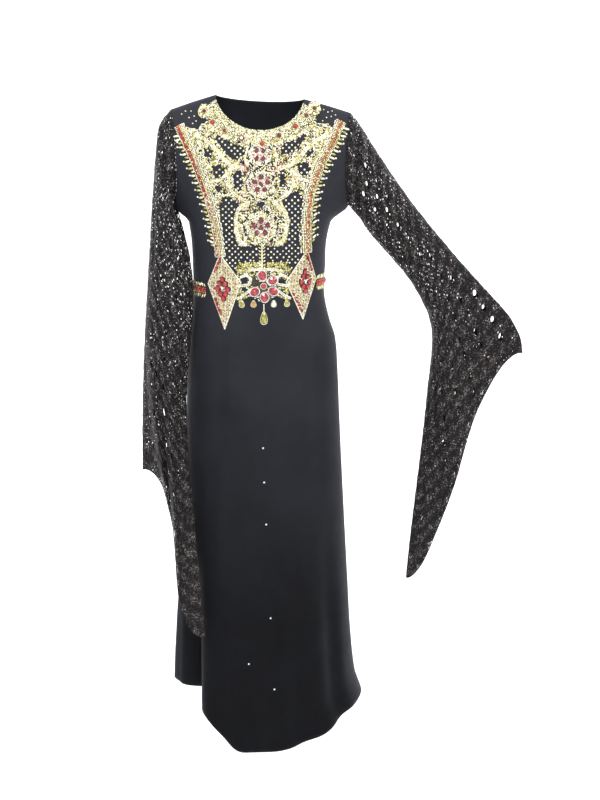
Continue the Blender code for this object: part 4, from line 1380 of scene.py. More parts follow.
    def pattern(self, across: np.ndarray, along: np.ndarray) -> tuple:
        """Draw the lace over the whole half.

        Args:
            across: how far each place lies across.
            along: how far each place lies along.

        Returns:
            How far each place lies inside a thread, and how much of a flower it is.
        """
        inside, slit = self.flowers(across, along)
        lace = np.minimum(np.maximum(self.net(across, along), inside), -slit)
        cells_across = np.linspace(0.0, SLEEVE_CELLS_ACROSS, self.columns + 1)[None]
        cells_along = np.linspace(0.0, SLEEVE_CELLS_ALONG, self.lines + 1)[:, None]
        for gap in self.gap_places():
            ring = np.hypot((cells_across - gap.across) / gap.half_across,
                            (cells_along - gap.along) / gap.half_along)
            near = ring < self.gap_reach
            cord = self.gap_cord - np.abs(ring - self.gap_rim) * self.gap_scale
            lace[near] = np.minimum(np.maximum(lace, cord), (ring - 1.0) * self.gap_scale)[near]
        edges = np.minimum.reduce((across, across[:, -1:] - across, along, along[-1:] - along))
        tape = np.maximum(lace, self.edge_tape - edges + self.edge_more)
        lace = np.where(edges < self.edge_tape, tape, lace)
        flower = np.clip(np.maximum(inside, 0.0) / self.flower_fade, 0.0, 1.0)
        return lace, flower

    def cut(self, points: np.ndarray, lace: np.ndarray, flower: np.ndarray) -> tuple:
        """Cut the cloth along the pattern's edges.

        Args:
            points: the cloth's grid of points.
            lace: positive where there is thread and negative in a hole.
            flower: the value that is carried to the mesh's points.

        Returns:
            The mesh's points, its faces, and the carried value at each point.
        """
        solid = lace > 0
        index = np.full(lace.shape, -1)
        index[solid] = np.arange(solid.sum())
        made, carried = [points[solid]], [flower[solid]]
        total = int(solid.sum())
        crossings = []
        for axis in (1, 0):
            first = (slice(None), slice(None, -1)) if axis else (slice(None, -1), slice(None))
            after = (slice(None), slice(1, None)) if axis else (slice(1, None), slice(None))
            mask = solid[first] != solid[after]
            share = lace[first] / np.where(mask, lace[first] - lace[after], 1.0)
            share = np.clip(share, self.cut_least, 1 - self.cut_least)[mask]
            start, end = points[first][mask], points[after][mask]
            made.append(start + (end - start) * share[:, None])
            carried.append(flower[first][mask] * (1 - share) + flower[after][mask] * share)
            numbers = np.full(mask.shape, -1)
            numbers[mask] = total + np.arange(mask.sum())
            total += int(mask.sum())
            crossings.append(numbers)
        level, upright = crossings
        count = solid[:-1, :-1].astype(int) + solid[:-1, 1:] + solid[1:, 1:] + solid[1:, :-1]
        r, c = np.nonzero(count == 4)
        corners = (index[r, c], index[r, c + 1], index[r + 1, c + 1], index[r + 1, c])
        faces = np.stack(corners, axis=1).tolist()
        for r, c in zip(*np.nonzero((count > 0) & (count < 4))):
            ring = []
            walk = (
                (index[r, c], level[r, c]), (index[r, c + 1], upright[r, c + 1]),
                (index[r + 1, c + 1], level[r + 1, c]), (index[r + 1, c], upright[r, c]),
            )
            for corner, crossing in walk:
                if corner >= 0:
                    ring.append(int(corner))
                if crossing >= 0:
                    ring.append(int(crossing))
            faces.append(ring)
        if self.face.value * self.side.value > 0:
            faces = [face[::-1] for face in faces]
        return np.concatenate(made), faces, np.concatenate(carried)

    def joined_only(self, count: int, faces: list) -> list:
        """Leave out threads that hang on nothing.

        Args:
            count: how many points the mesh has.
            faces: its faces.

        Returns:
            The faces of the largest joined part.
        """
        parent = list(range(count))

        def root(at: int) -> int:
            """Find the point that stands for a point's joined part.

            Args:
                at: the point.

            Returns:
                The point that stands for the part.
            """
            while parent[at] != at:
                parent[at] = parent[parent[at]]
                at = parent[at]
            return at

        for face in faces:
            first = root(face[0])
            for at in face[1:]:
                parent[root(at)] = first
        owners = [root(face[0]) for face in faces]
        sizes: dict = {}
        for owner in owners:
            sizes[owner] = sizes.get(owner, 0) + 1
        largest = max(sizes, key=sizes.get)
        return [face for face, owner in zip(faces, owners) if owner == largest]

    def build(self, material: bpy.types.Material) -> None:
        """Make the half, dress it and put it on the gown.

        Args:
            material: the lace.
        """
        points, normals, across, along = self.cloth()
        lace, flower = self.pattern(across, along)
        points = points + normals * (self.flower_rise * flower)[..., None]
        made, faces, carried = self.cut(points, lace, flower)
        faces = self.joined_only(len(made), faces)
        obj = mesh_object(self.name, made.tolist(), faces)
        values = obj.data.attributes.new("flower", "FLOAT", "POINT")
        values.data.foreach_set("value", carried.astype(np.float32))
        self.drop_loose(obj)
        obj.data.materials.append(material)
        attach(obj, "root")
        bands = LEFT_SLEEVE_BANDS if self.side is Side.LEFT else RIGHT_SLEEVE_BANDS
        half = f"sleeve_{self.side.name.lower()}_{self.face.name.lower()}"
        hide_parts(*(half + band for band in bands))
        log.info("%s: %d faces", self.name, len(obj.data.polygons))

    def drop_loose(self, obj: bpy.types.Object) -> None:
        """Take away the points that no face uses.

        Args:
            obj: the half.
        """
        made = bmesh.new()
        made.from_mesh(obj.data)
        bmesh.ops.delete(made, geom=[vert for vert in made.verts if not vert.link_faces], context="VERTS")
        made.to_mesh(obj.data)
        made.free()


# The beadwork


def curve_through(route: Sequence[tuple], step: float) -> list:
    """Find places every step along a smooth curve through a route, each with its heading.

    Args:
        route: the route's points, as x and z.
        step: the distance between two places.

    Returns:
        A list of (x, z, heading x, heading z).
    """
    spots = [np.array(spot, float) for spot in route]
    fine = []
    for at in range(len(spots) - 1):
        before, start = spots[max(at - 1, 0)], spots[at]
        end, after = spots[at + 1], spots[min(at + 2, len(spots) - 1)]
        for t in np.linspace(0.0, 1.0, 24, endpoint=False):
            square, cube = 2 * before - 5 * start + 4 * end - after, 3 * start - before - 3 * end + after
            fine.append(0.5 * (2 * start + (end - before) * t + square * t**2 + cube * t**3))
    fine.append(spots[-1])
    fine = np.array(fine)
    lengths = np.concatenate(([0.0], np.cumsum(np.linalg.norm(np.diff(fine, axis=0), axis=1))))
    count = max(1, round(lengths[-1] / step))
    places = []
    for n in range(count + 1):
        target = lengths[-1] * n / count
        x, z = np.interp(target, lengths, fine[:, 0]), np.interp(target, lengths, fine[:, 1])
        ends = (max(target - 0.001, 0.0), min(target + 0.001, lengths[-1]))
        run = np.array([np.diff(np.interp(ends, lengths, fine[:, k]))[0] for k in (0, 1)])
        run /= max(np.linalg.norm(run), 1e-9)
        places.append((float(x), float(z), float(run[0]), float(run[1])))
    return places


def mirrored(route: Sequence[tuple], middle: float = 0.003) -> tuple:
    """The same route on the other side of the front's middle."""
    return tuple((2 * middle - x, z) for x, z in route)


def turn_of(run_x: float, run_z: float) -> float:
    """The turn from upright, in degrees towards +X, of a heading."""
    return math.degrees(math.atan2(run_x, run_z))


class RedSpot(NamedTuple):
    """A stone, by place, half size and finish."""

    x: float
    z: float
    half: float
    kind: Bead


def within(x: float, z: float, loop: Sequence[tuple]) -> bool:
    """Tell whether a place lies inside a closed outline.

    Args:
        x: the place across.
        z: the place upwards.
        loop: the outline's corners.

    Returns:
        True inside it.
    """
    inside = False
    for at, (a, b) in enumerate(loop):
        c, d = loop[at - 1]
        if (b > z) != (d > z) and x < (c - a) * (z - b) / (d - b) + a:
            inside = not inside
    return inside


def domed(shares: Sequence[float]) -> list:
    """The levels of a pad that rises evenly from its edge to its middle."""
    return [(1.0, 0.0), *((share, PAD_BACKING * (1.6 - 0.6 * share)) for share in shares)]


def winding(x: float, z: float) -> float:
    """A value from 0 to 1 that is low along the short winding gaps of the filigree."""
    first = math.sin(620 * x + 2.2 * math.sin(390 * z))
    return 0.5 + 0.5 * first * math.sin(540 * z + 2.0 * math.sin(350 * x))


@dataclass
class NecklineBand(BeadPiece):
    """The dense band of beads round the front of the neck, with a flower at each shoulder."""

    turn_limit: float = 78.0
    inset: float = 0.0012
    side_width: float = 0.026
    front_width: float = 0.0225
    end_drop: float = 0.016
    ridge: float = 0.0016
    pad_steps: int = 30
    lines: int = 11
    line_beads: int = 134
    leaf_limit: float = 72.0
    leaf_steps: int = 22
    mix: tuple = (Bead.PALE, Bead.PALE, Bead.GOLD, Bead.PALE, Bead.WHITE, Bead.GOLD, Bead.OLIVE)
    flower_reach: float = 0.015
    stones: tuple = (
        RedSpot(-0.099, -0.053, 0.0046, Bead.RED),
        RedSpot(-0.073, -0.069, 0.0036, Bead.GARNET),
        RedSpot(-0.037, -0.084, 0.005, Bead.GARNET),
        RedSpot(0.005, -0.096, 0.0044, Bead.RED),
        RedSpot(0.04, -0.079, 0.0044, Bead.GARNET),
        RedSpot(0.074, -0.061, 0.0048, Bead.RED),
        RedSpot(0.097, -0.04, 0.0036, Bead.GARNET),
    )
    shoulder_flowers: tuple = ((-0.1165, -0.031), (0.1135, -0.026))
    shoulder_studs: tuple = (
        (-0.166, -0.036), (-0.158, -0.03), (-0.146, -0.03), (-0.15, -0.043), (-0.139, -0.04),
        (-0.135, -0.05), (-0.142, -0.055), (0.134, -0.027), (0.143, -0.032), (0.152, -0.03),
        (0.15, -0.041), (0.159, -0.038), (0.14, -0.043), (0.132, -0.05),
    )

    def crown(self, share: float) -> float:
        """The pad's height at a share of the band's width."""
        return PAD_BACKING + self.ridge * math.sin(math.pi * share)

    def spot(self, turn: float, share: float) -> tuple:
        """Find a place on the band.

        Args:
            turn: the turn round the neck, in degrees.
            share: the share of the band's width, from the neck outwards.

        Returns:
            Its x and z.
        """
        edge = top_edge(turn / 90 * NECK_SHARE, Face.FRONT)
        sideways, towards = math.sin(math.radians(turn)), math.cos(math.radians(turn))
        side = self.inset + self.side_width * share
        low = self.inset + self.front_width * share
        return edge.x + side * sideways, edge.z - low * towards - self.end_drop * share * sideways**2

    def lay(self) -> None:
        """Sew the band."""
        rows = []
        for n in range(2 * self.pad_steps + 1):
            turn = self.turn_limit * (n / self.pad_steps - 1)
            inner = [(*self.spot(turn, share), self.crown(share)) for share in (0.02, 0.25, 0.5, 0.75, 0.98)]
            rows.append([(*self.spot(turn, 0.0), 0.0), *inner, (*self.spot(turn, 1.0), 0.0)])
        self.pad(rows)
        for stone in self.stones:
            self.stone(stone.kind, stone.x, stone.z, (stone.half, stone.half), 0.0, 0.0022, Bead.GOLD)
        for x, z in self.shoulder_flowers:
            self.add_flower(x, z)
        for line in range(self.lines + 1):
            for n in range(self.line_beads + 1):
                turn = self.turn_limit * (2 * (n + 0.5 * (line % 2)) / self.line_beads - 1)
                turn += self.luck.uniform(-0.35, 0.35)
                share = line / self.lines * 1.03 + self.luck.uniform(-0.035, 0.035)
                lift = self.crown(min(max(share, 0.0), 1.0)) - 0.0006
                x, z = self.spot(turn, share)
                if winding(x, z) > 0.13 and self.free(x, z, 0.0008):
                    kind = self.luck.choice(self.mix)
                    self.seed(kind, x, z, 0.0015, lift if 0.05 < share < 0.97 else 0.0)
        for n in range(2 * self.leaf_steps + 1):
            turn = self.leaf_limit * (n / self.leaf_steps - 1)
            x, z = self.spot(turn, 1.1 + 0.08 * (n % 2))
            if self.free(x, z, 0.003):
                kind = (Bead.GOLD, Bead.PALE, Bead.OLIVE, Bead.PALE)[n % 4]
                self.sew(BeadShape.LEAF, kind, x, z, (0.002, 0.004, 0.0017),
                         -turn * 0.8 + 180 + self.luck.uniform(-35, 35))
        for x, z in self.shoulder_studs:
            self.round(Bead.PALE, x, z, 0.0016)

    def add_flower(self, x: float, z: float) -> None:
        """Sew a gold flower round a dark stone, on a bed of small beads.

        Args:
            x: the flower's place across.
            z: the flower's place upwards.
        """
        reach = self.flower_reach
        self.dome(x, z, (reach, reach), ((1.0, 0.0), (0.94, 0.002), (0.6, 0.0028), (0.02, 0.0032)), 20)
        self.stone(Bead.GARNET, x, z, (0.0036, 0.0036), 0.0, 0.0032, Bead.GOLD)
        for n in range(8):
            angle = math.pi * n / 4
            a, b = x + 0.01 * math.sin(angle), z + 0.01 * math.cos(angle)
            self.sew(BeadShape.LEAF, Bead.PALE, a, b, (0.0032, 0.005, 0.002), math.degrees(angle), 0.0026)
        self.fill((x - reach, z - reach, x + reach, z + reach), 0.0027,
                  lambda a, b: 0.0026 if math.hypot(a - x, b - z) < reach * 0.96 else None,
                  (Bead.PALE, Bead.GOLD, Bead.PALE, Bead.OLIVE), 0.0015)
        self.taken.append((x, z, reach - 0.001))


@dataclass
class VBand(BeadPiece):
    """A bead strip from the shoulder down to the belt, with leaf beads along its outer edge."""

    side: Side
    route: tuple
    columns: tuple
    low_columns: tuple
    half: float = 0.0112
    ridge: float = 0.0016
    leaf_step: float = 0.0164

    def crown(self, share: float) -> float:
        """The pad's height at a share of the half width."""
        return PAD_BACKING + self.ridge * math.cos(math.pi / 2 * share)

    def lay(self) -> None:
        """Sew the strip."""
        rows = []
        for x, z, run_x, run_z in curve_through(self.route, 0.006):
            row = []
            for share in (-1.0, -0.96, -0.5, 0.0, 0.5, 0.96, 1.0):
                off = share * self.half
                height = 0.0 if abs(share) == 1.0 else self.crown(share)
                row.append((x - run_z * off, z + run_x * off, height))
            rows.append(row)
        self.pad(rows)
        for at in range(7):
            off = (at - 3) / 3 * (self.half - 0.0012)
            lift = self.crown(off / self.half) - 0.0004
            places = curve_through(self.route, 0.0033)
            for n, (x, z, run_x, run_z) in enumerate(places):
                share = n / len(places) + self.luck.uniform(-0.08, 0.08)
                kinds = self.columns[at] if share < 0.55 else self.low_columns[at]
                kind = kinds[n % len(kinds)] if self.luck.random() < 0.85 else Bead.PALE
                sway = off + self.luck.uniform(-0.0004, 0.0004) * (3 if at in (0, 6) else 1)
                radius = 0.00175 * self.luck.uniform(0.85, 1.15)
                self.seed(kind, x - run_z * sway, z + run_x * sway, radius, lift if 0 < at < 6 else 0.0006)
        self.add_leaves()

    def add_leaves(self) -> None:
        """Sew the leaf beads outside the strip, each with a clear tip, and small leaves between."""
        outwards = self.side.value
        for n, (x, z, run_x, run_z) in enumerate(curve_through(self.route, self.leaf_step / 2)[1:-3]):
            side_x, side_z = -run_z * outwards, run_x * outwards
            if side_x * outwards < 0:
                side_x, side_z = -side_x, -side_z
            heading = turn_of(side_x - 0.3 * run_x, side_z - 0.3 * run_z) + self.luck.uniform(-9, 9)
            main = n % 2 == 0
            reach = self.half + (0.0062 if main else 0.004)
            size = (0.0026, 0.0066, 0.0026) if main else (0.0024, 0.0054, 0.0022)
            kinds = (Bead.PALE, Bead.PALE, Bead.GOLD) if main else (Bead.OLIVE, Bead.OLIVE, Bead.GOLD)
            shape = BeadShape.ROUND if main else BeadShape.LEAF
            self.sew(shape, kinds[n // 2 % 3], x + side_x * reach, z + side_z * reach, size, heading)
            if main:
                tip = self.half + 0.0128
                a, b = x + side_x * tip - run_x * 0.003, z + side_z * tip - run_z * 0.003
                self.round(Bead.WHITE if n % 4 else Bead.PALE, a, b, 0.0022)


@dataclass
class Rosette(BeadPiece):
    """A round motif: stones on a bed of rose beads, with gold filigree round them."""

    slot: ClassVar[str] = "red_stones"
    x: float
    z: float
    radius: float
    stone_turns: tuple
    stone_reach: float
    stone_half: float
    middle_half: float
    lobes: int = 9
    bed_rim: float = 0.0062

    def height_at(self, x: float, z: float) -> float | None:
        """Find the foot of a bead of the filigree.

        Args:
            x: the place across.
            z: the place upwards.

        Returns:
            The height, or None outside the scalloped rim.
        """
        away = math.hypot(x - self.x, z - self.z)
        turn = math.atan2(x - self.x, z - self.z)
        rim = self.radius * (1.0 + 0.05 * math.cos(self.lobes * turn))
        if away > rim or away < self.stone_reach + self.bed_rim:
            return None
        return 0.0002 if away > self.radius * 0.94 else PAD_BACKING * (1.2 + 0.6 * (1 - away / rim))

    def lay(self) -> None:
        """Sew the motif."""
        levels = domed((0.98, 0.7, 0.42, 0.2, 0.01))
        self.dome(self.x, self.z, (self.radius, self.radius), levels, 28)
        if self.middle_half:
            self.stone(Bead.GARNET, self.x, self.z, (self.middle_half, self.middle_half), 0.0, 0.0024, None)
        for turn in self.stone_turns:
            angle = math.radians(turn)
            self.stone(Bead.GARNET, self.x + self.stone_reach * math.sin(angle),
                       self.z + self.stone_reach * math.cos(angle),
                       (self.stone_half, self.stone_half * 1.08), turn, 0.0022, None)
        reach = self.radius * 1.06
        box = (self.x - reach, self.z - reach, self.x + reach, self.z + reach)
        bed = self.stone_reach + self.bed_rim
        self.fill(box, 0.0029, lambda a, b: 0.002 if math.hypot(a - self.x, b - self.z) < bed else None,
                  (Bead.PINK, Bead.PINK, Bead.WHITE, Bead.PALE), 0.0015)
        self.fill(box, 0.0028, self.height_at,
                  (Bead.PALE, Bead.PALE, Bead.GOLD, Bead.PALE, Bead.WHITE), 0.0016, 0.2)


@dataclass
class BeltFlower(BeadPiece):
    """The large flower in the middle of the belt: five oval red stones round a small one."""

    slot: ClassVar[str] = "red_stones"
    x: float = 0.006
    z: float = -0.392
    ovals: tuple = ((0.004, -0.369), (0.0262, -0.3795), (0.0272, -0.4035), (0.0085, -0.4165),
                    (-0.0125, -0.4045))
    radius: float = 0.03
    bed: float = 0.014

    def height_at(self, x: float, z: float) -> float | None:
        """Find the foot of a small bead between the stones.

        Args:
            x: the place across.
            z: the place upwards.

        Returns:
            The height, or None away from them.
        """
        near = min(math.hypot(x - a, z - b) for a, b in self.ovals)
        return 0.0016 if near < self.bed and math.hypot(x - self.x, z - self.z) < 0.033 else None

    def lay(self) -> None:
        """Sew the flower."""
        self.dome(self.x, self.z, (self.radius, self.radius), domed((0.96, 0.6, 0.3, 0.01)), 30,
                  lambda angle: 1 + 0.06 * math.cos(5 * angle - 0.5))
        self.stone(Bead.RED, self.x + 0.0008, self.z, (0.0054, 0.0054), 0.0, 0.0024, Bead.WHITE, 0.0011)
        for x, z in self.ovals:
            turn = turn_of(x - self.x, z - self.z)
            self.stone(Bead.RED, x, z, (0.0078, 0.0096), turn, 0.0018, Bead.WHITE, 0.0015)
            self.sew(BeadShape.ROUND, Bead.RED, x, z, (0.0056, 0.007, 0.0058), turn, 0.0022)
        self.fill((self.x - 0.034, self.z - 0.034, self.x + 0.034, self.z + 0.034), 0.0029, self.height_at,
                  (Bead.PALE, Bead.GOLD, Bead.WHITE, Bead.OLIVE), 0.0015, 0.22)


@dataclass
class BeltDiamond(BeadPiece):
    """A pointed plate of the belt: pale and gold beads in columns round a lozenge of red stones."""

    corners: tuple
    heart: tuple
    heart_stones: tuple
    red_edges: tuple
    lean: float
    levels: tuple = ((1.0, 0.0), (0.97, PAD_BACKING), (0.72, 0.0024), (0.44, 0.0018), (0.24, 0.0036),
                     (0.01, 0.0046))
    rim: float = 0.985
    side_columns: int = 11
    pitch: float = 0.0029
    mixes: tuple = ((Bead.PALE, Bead.GOLD), (Bead.CORAL, Bead.PALE, Bead.GOLD, Bead.PALE),
                    (Bead.PALE, Bead.WHITE), (Bead.COPPER, Bead.PALE, Bead.GOLD))

    def spot(self, n: float, share: float) -> tuple:
        """Find a place on the outline, drawn in towards the middle.

        Args:
            n: the side's number, with the share along it.
            share: the share of the way out from the middle.

        Returns:
            Its x and z.
        """
        at = int(n) % 4
        start, end = np.array(self.corners[at]), np.array(self.corners[(at + 1) % 4])
        edge = start + (end - start) * (n - int(n))
        middle = np.mean(np.array(self.corners), axis=0)
        spot = middle + (edge - middle) * share
        return float(spot[0]), float(spot[1])

    def lay(self) -> None:
        """Sew the plate."""
        rows = []
        for share, height in self.levels:
            rows.append([(*self.spot(n / 8, share), height) for n in range(33)])
        self.pad(rows)
        x, z = self.heart
        for a, b, half in self.heart_stones:
            kind = Bead.WHITE if half < 0.003 else Bead.RED
            self.stone(kind, x + a, z + b, (half, half * 1.15), 0.0, 0.0044, None)
        for side, start, end in self.red_edges:
            for n in range(6):
                a, b = self.spot(side + start + (end - start) * n / 5, 0.9)
                self.stone(Bead.RED if n % 2 else Bead.CORAL, a, b, (0.0025, 0.003), 0.0, 0.002, None)
        for side in range(4):
            start, end = self.spot(side, self.rim), self.spot(side + 0.9999, self.rim)
            count = round(math.dist(start, end) / 0.003)
            for n in range(count):
                kind = Bead.PALE if n % 3 else Bead.WHITE
                self.seed(kind, *self.spot(side + n / count, self.rim), 0.0017, 0.0006)
        self.add_columns()

    def add_columns(self) -> None:
        """Sew the columns of beads that run down the plate, round the stones."""
        outline = [self.spot(side, 0.95) for side in range(4)]
        low_z, high_z = min(z for _, z in outline), max(z for _, z in outline)
        middle = sum(x for x, _ in outline) / 4
        for column in range(-self.side_columns, self.side_columns + 1):
            for n in range(int((high_z - low_z) / self.pitch)):
                z = low_z + (n + 0.5 * (column % 2)) * self.pitch
                x = middle + column * self.pitch + self.lean * (z - (low_z + high_z) / 2)
                x += self.luck.uniform(-0.0003, 0.0003)
                if within(x, z, outline) and self.free(x, z, 0.0007):
                    away = math.hypot((x - self.heart[0]) * 1.6, z - self.heart[1])
                    lift = 0.0016 + 0.0024 * float(hump(np.array(away), 0.04))
                    some = self.mixes[column % 4]
                    self.seed(some[n % len(some)], x, z, 0.0016 * self.luck.uniform(0.9, 1.15), lift)


@dataclass
class BeltDrop(BeadPiece):
    """A drop stone that hangs under the belt flower, in a rim of tiny beads."""

    slot: ClassVar[str] = "amber_drop"
    x: float
    z: float
    half_width: float
    half_height: float
    kind: Bead
    stem: float = 0.0

    def lay(self) -> None:
        """Sew the drop."""
        wide, long = self.half_width * 0.8, self.half_height * 0.84
        levels = ((1.0, 0.0), (0.96, 0.0014), (0.5, 0.0018), (0.01, 0.0018))
        self.dome(self.x, self.z, (self.half_width, self.half_height), levels, 16)
        self.sew(BeadShape.DROP, self.kind, self.x, self.z, (wide * 1.15, long, 0.003), 0.0, 0.0014)
        count = max(14, round(math.pi * (self.half_width + self.half_height) / 0.0022))
        for n in range(count):
            angle = 2 * math.pi * n / count
            a = math.sin(angle) * (0.8 - 0.3 * math.cos(angle)) * self.half_width * 1.16
            b = math.cos(angle) * self.half_height * 0.96
            self.seed(Bead.PALE, self.x + a, self.z + b, 0.0011, 0.0012)
        for n in range(round(self.stem / 0.0026)):
            z = self.z + self.half_height + 0.0014 + n * 0.0026
            self.round(Bead.WHITE if n % 2 else Bead.PALE, self.x, z, 0.0015)


@dataclass
class BeltStrap(BeadPiece):
    """A strip of red beads with leaf beads above and below, from a belt plate to the side seam."""

    turns: tuple
    levels: tuple
    outwards: int
    length: float = 0.046
    leaves: int = 9
    levels_across: tuple = ((-0.008, 0.0), (-0.0076, PAD_BACKING), (0.0, 0.0026), (0.0076, PAD_BACKING),
                            (0.008, 0.0))

    def spot(self, share: float, off: float) -> tuple:
        """Find a place on the strap.

        Args:
            share: the share along it.
            off: the distance above its middle line.

        Returns:
            Its x and z.
        """
        turn = self.turns[0] + (self.turns[1] - self.turns[0]) * share
        level = self.levels[0] + (self.levels[1] - self.levels[0]) * share
        girth = blend(GIRTHS, "height", level)
        return girth.middle + girth.half * math.sin(math.radians(turn)) * 0.999, level + off

    def lay(self) -> None:
        """Sew the strap."""
        self.pad([[(*self.spot(n / 14, off), height) for off, height in self.levels_across]
                  for n in range(15)])
        for off, radius, kinds, lift in (
            (0.0, 0.0024, (Bead.CORAL, Bead.RED), 0.0022), (0.0042, 0.002, (Bead.CORAL, Bead.RED), 0.0018),
            (-0.0042, 0.002, (Bead.CORAL, Bead.CORAL, Bead.COPPER), 0.0018),
        ):
            count = round(self.length / (2.1 * radius))
            for n in range(count + 1):
                self.round(kinds[n % len(kinds)], *self.spot(n / count, off), radius, lift)
        for n in range(self.leaves):
            for side in (-1, 1):
                x, z = self.spot((n + 0.5) / self.leaves, side * (0.0108 + 0.0016 * (n % 2)))
                turn = self.outwards * (40 if side > 0 else 140)
                kind = (Bead.OLIVE, Bead.GOLD, Bead.PALE)[(n + (side > 0)) % 3]
                self.sew(BeadShape.LEAF, kind, x, z, (0.0021, 0.006, 0.002), turn)


class Scroll(NamedTuple):
    """A raised line of the filigree along a route on the left, worked in reverse on the right."""

    route: tuple
    half: float


@dataclass
class ChestFiligree(BeadPiece):
    """The close gold filigree of the chest, open in windows of black cloth, with raised scrolls on it."""

    neckline: NecklineBand
    bands: tuple
    rosettes: tuple
    windows: tuple = (
        ((-0.091, -0.074), (-0.072, -0.086), (-0.052, -0.095), (-0.032, -0.102), (-0.028, -0.116),
         (-0.041, -0.122), (-0.051, -0.131), (-0.065, -0.121), (-0.081, -0.101), (-0.093, -0.087)),
        ((-0.119, -0.104), (-0.107, -0.101), (-0.098, -0.11), (-0.101, -0.122), (-0.113, -0.124)),
        ((-0.1, -0.14), (-0.083, -0.136), (-0.072, -0.148), (-0.076, -0.166), (-0.093, -0.166)),
        ((0.043, -0.102), (0.056, -0.093), (0.076, -0.086), (0.095, -0.07), (0.099, -0.077),
         (0.09, -0.091), (0.076, -0.107), (0.066, -0.113), (0.046, -0.117)),
        ((0.078, -0.136), (0.098, -0.132), (0.108, -0.145), (0.1, -0.16), (0.082, -0.159)),
        ((0.094, -0.112), (0.104, -0.104), (0.112, -0.108), (0.106, -0.12), (0.098, -0.122)),
        ((-0.096, -0.183), (-0.086, -0.18), (-0.078, -0.19), (-0.088, -0.196)),
        ((-0.05, -0.15), (-0.038, -0.15), (-0.034, -0.172), (-0.04, -0.194), (-0.052, -0.186),
         (-0.055, -0.168)),
        ((0.042, -0.15), (0.05, -0.148), (0.055, -0.166), (0.051, -0.183), (0.041, -0.184)),
        ((-0.078, -0.204), (-0.059, -0.204), (-0.044, -0.22), (-0.041, -0.233), (-0.053, -0.25),
         (-0.055, -0.271), (-0.052, -0.291), (-0.042, -0.307), (-0.027, -0.316), (-0.008, -0.304),
         (-0.002, -0.304), (-0.002, -0.362), (-0.09, -0.362), (-0.078, -0.306), (-0.083, -0.258),
         (-0.085, -0.224)),
        ((0.009, -0.304), (0.015, -0.304), (0.029, -0.31), (0.045, -0.312), (0.059, -0.291),
         (0.062, -0.257), (0.059, -0.237), (0.05, -0.223), (0.046, -0.206), (0.061, -0.197),
         (0.079, -0.191), (0.091, -0.205), (0.088, -0.224), (0.085, -0.258), (0.082, -0.292),
         (0.094, -0.362), (0.009, -0.362)),
        ((-0.004, -0.214), (0.008, -0.213), (0.011, -0.219), (0.003, -0.224), (-0.007, -0.22)),
    )
    scrolls: tuple = (
        Scroll(((-0.1354, -0.0778), (-0.1112, -0.0898), (-0.0904, -0.1069), (-0.0731, -0.1275),
                (-0.0559, -0.14), (-0.0334, -0.144)), 0.004),
        Scroll(((-0.106, -0.1738), (-0.0904, -0.1704), (-0.074, -0.162), (-0.061, -0.1464)), 0.003),
        Scroll(((-0.061, -0.1498), (-0.0645, -0.1738), (-0.0559, -0.1944), (-0.0386, -0.2064),
                (-0.0213, -0.215)), 0.0036),
        Scroll(((-0.0248, -0.217), (-0.042, -0.2262), (-0.0495, -0.2458), (-0.049, -0.2664),
                (-0.0452, -0.287), (-0.038, -0.299), (-0.029, -0.303)), 0.004),
        Scroll(((-0.025, -0.106), (-0.03, -0.124), (-0.025, -0.138)), 0.002),
    )
    red_clusters: tuple = ((-0.0385, -0.1395), (-0.03, -0.148), (0.0445, -0.1395), (0.036, -0.148))
    low_edge: float = -0.306
    pitch: float = 0.0028
    band_half: float = 0.0112
    stray_leaves: int = 1500
    stem_beads: int = 24
    stem_x: float = 0.004
    stem_top: float = -0.3
    stem_step: float = 0.0024
    top_x: tuple = field(init=False)
    top_z: tuple = field(init=False)
    sides: list = field(init=False)

    def __post_init__(self) -> None:
        """Note where the neckline and the two bead strips end."""
        spots = [self.neckline.spot(turn, 1.02) for turn in range(-84, 85, 6)]
        outer = ((-0.158, -0.062), (-0.128, -0.068), *spots, (0.118, -0.06), (0.152, -0.064))
        self.top_x, self.top_z = zip(*sorted(outer))
        runs = [sorted((z, x) for x, z, _, _ in curve_through(band, 0.01)) for band in self.bands]
        self.sides = [tuple(zip(*run)) for run in runs]

    def height_at(self, x: float, z: float) -> float | None:
        """Find the foot of a bead.

        Args:
            x: the place across.
            z: the place upwards.

        Returns:
            The height, or None outside the filigree.
        """
        if not self.low_edge < z < np.interp(x, self.top_x, self.top_z):
            return None
        left, right = (np.interp(z, zs, xs) for zs, xs in self.sides)
        if not left + self.band_half < x < right - self.band_half:
            return None
        if any(math.hypot(x - a, z - b) < radius * 1.07 for a, b, radius in self.rosettes):
            return None
        return None if any(within(x, z, window) for window in self.windows) else 0.0002

    def lay(self) -> None:
        """Sew the filigree."""
        for x, z in self.red_clusters:
            for n in range(7):
                angle, reach = n * math.pi / 3, 0.0038 if n < 6 else 0.0
                self.round(Bead.CORAL if n % 2 else Bead.PINK, x + reach * math.sin(angle),
                           z + reach * math.cos(angle), 0.0018, 0.0006)
            self.taken.append((x, z, 0.0052))
        self.add_leaves()
        self.fill((-0.16, self.low_edge, 0.16, -0.055), self.pitch, self.height_at,
                  (Bead.PALE, Bead.PALE, Bead.PALE, Bead.GOLD, Bead.PINK, Bead.WHITE, Bead.OLIVE),
                  0.0015, 0.34)
        for scroll in self.scrolls:
            for route in (scroll.route, mirrored(scroll.route)):
                self.add_scroll(route, scroll.half)
        for n in range(self.stem_beads):
            z = self.stem_top - n * self.stem_step
            self.round(Bead.PALE if n % 3 else Bead.WHITE, self.stem_x, z, 0.0017)
            if n % 3 == 1:
                for side in (-1, 1):
                    x = self.stem_x + side * 0.0044
                    self.sew(BeadShape.LEAF, Bead.GOLD, x, z, (0.0016, 0.0036, 0.0014), side * 52)

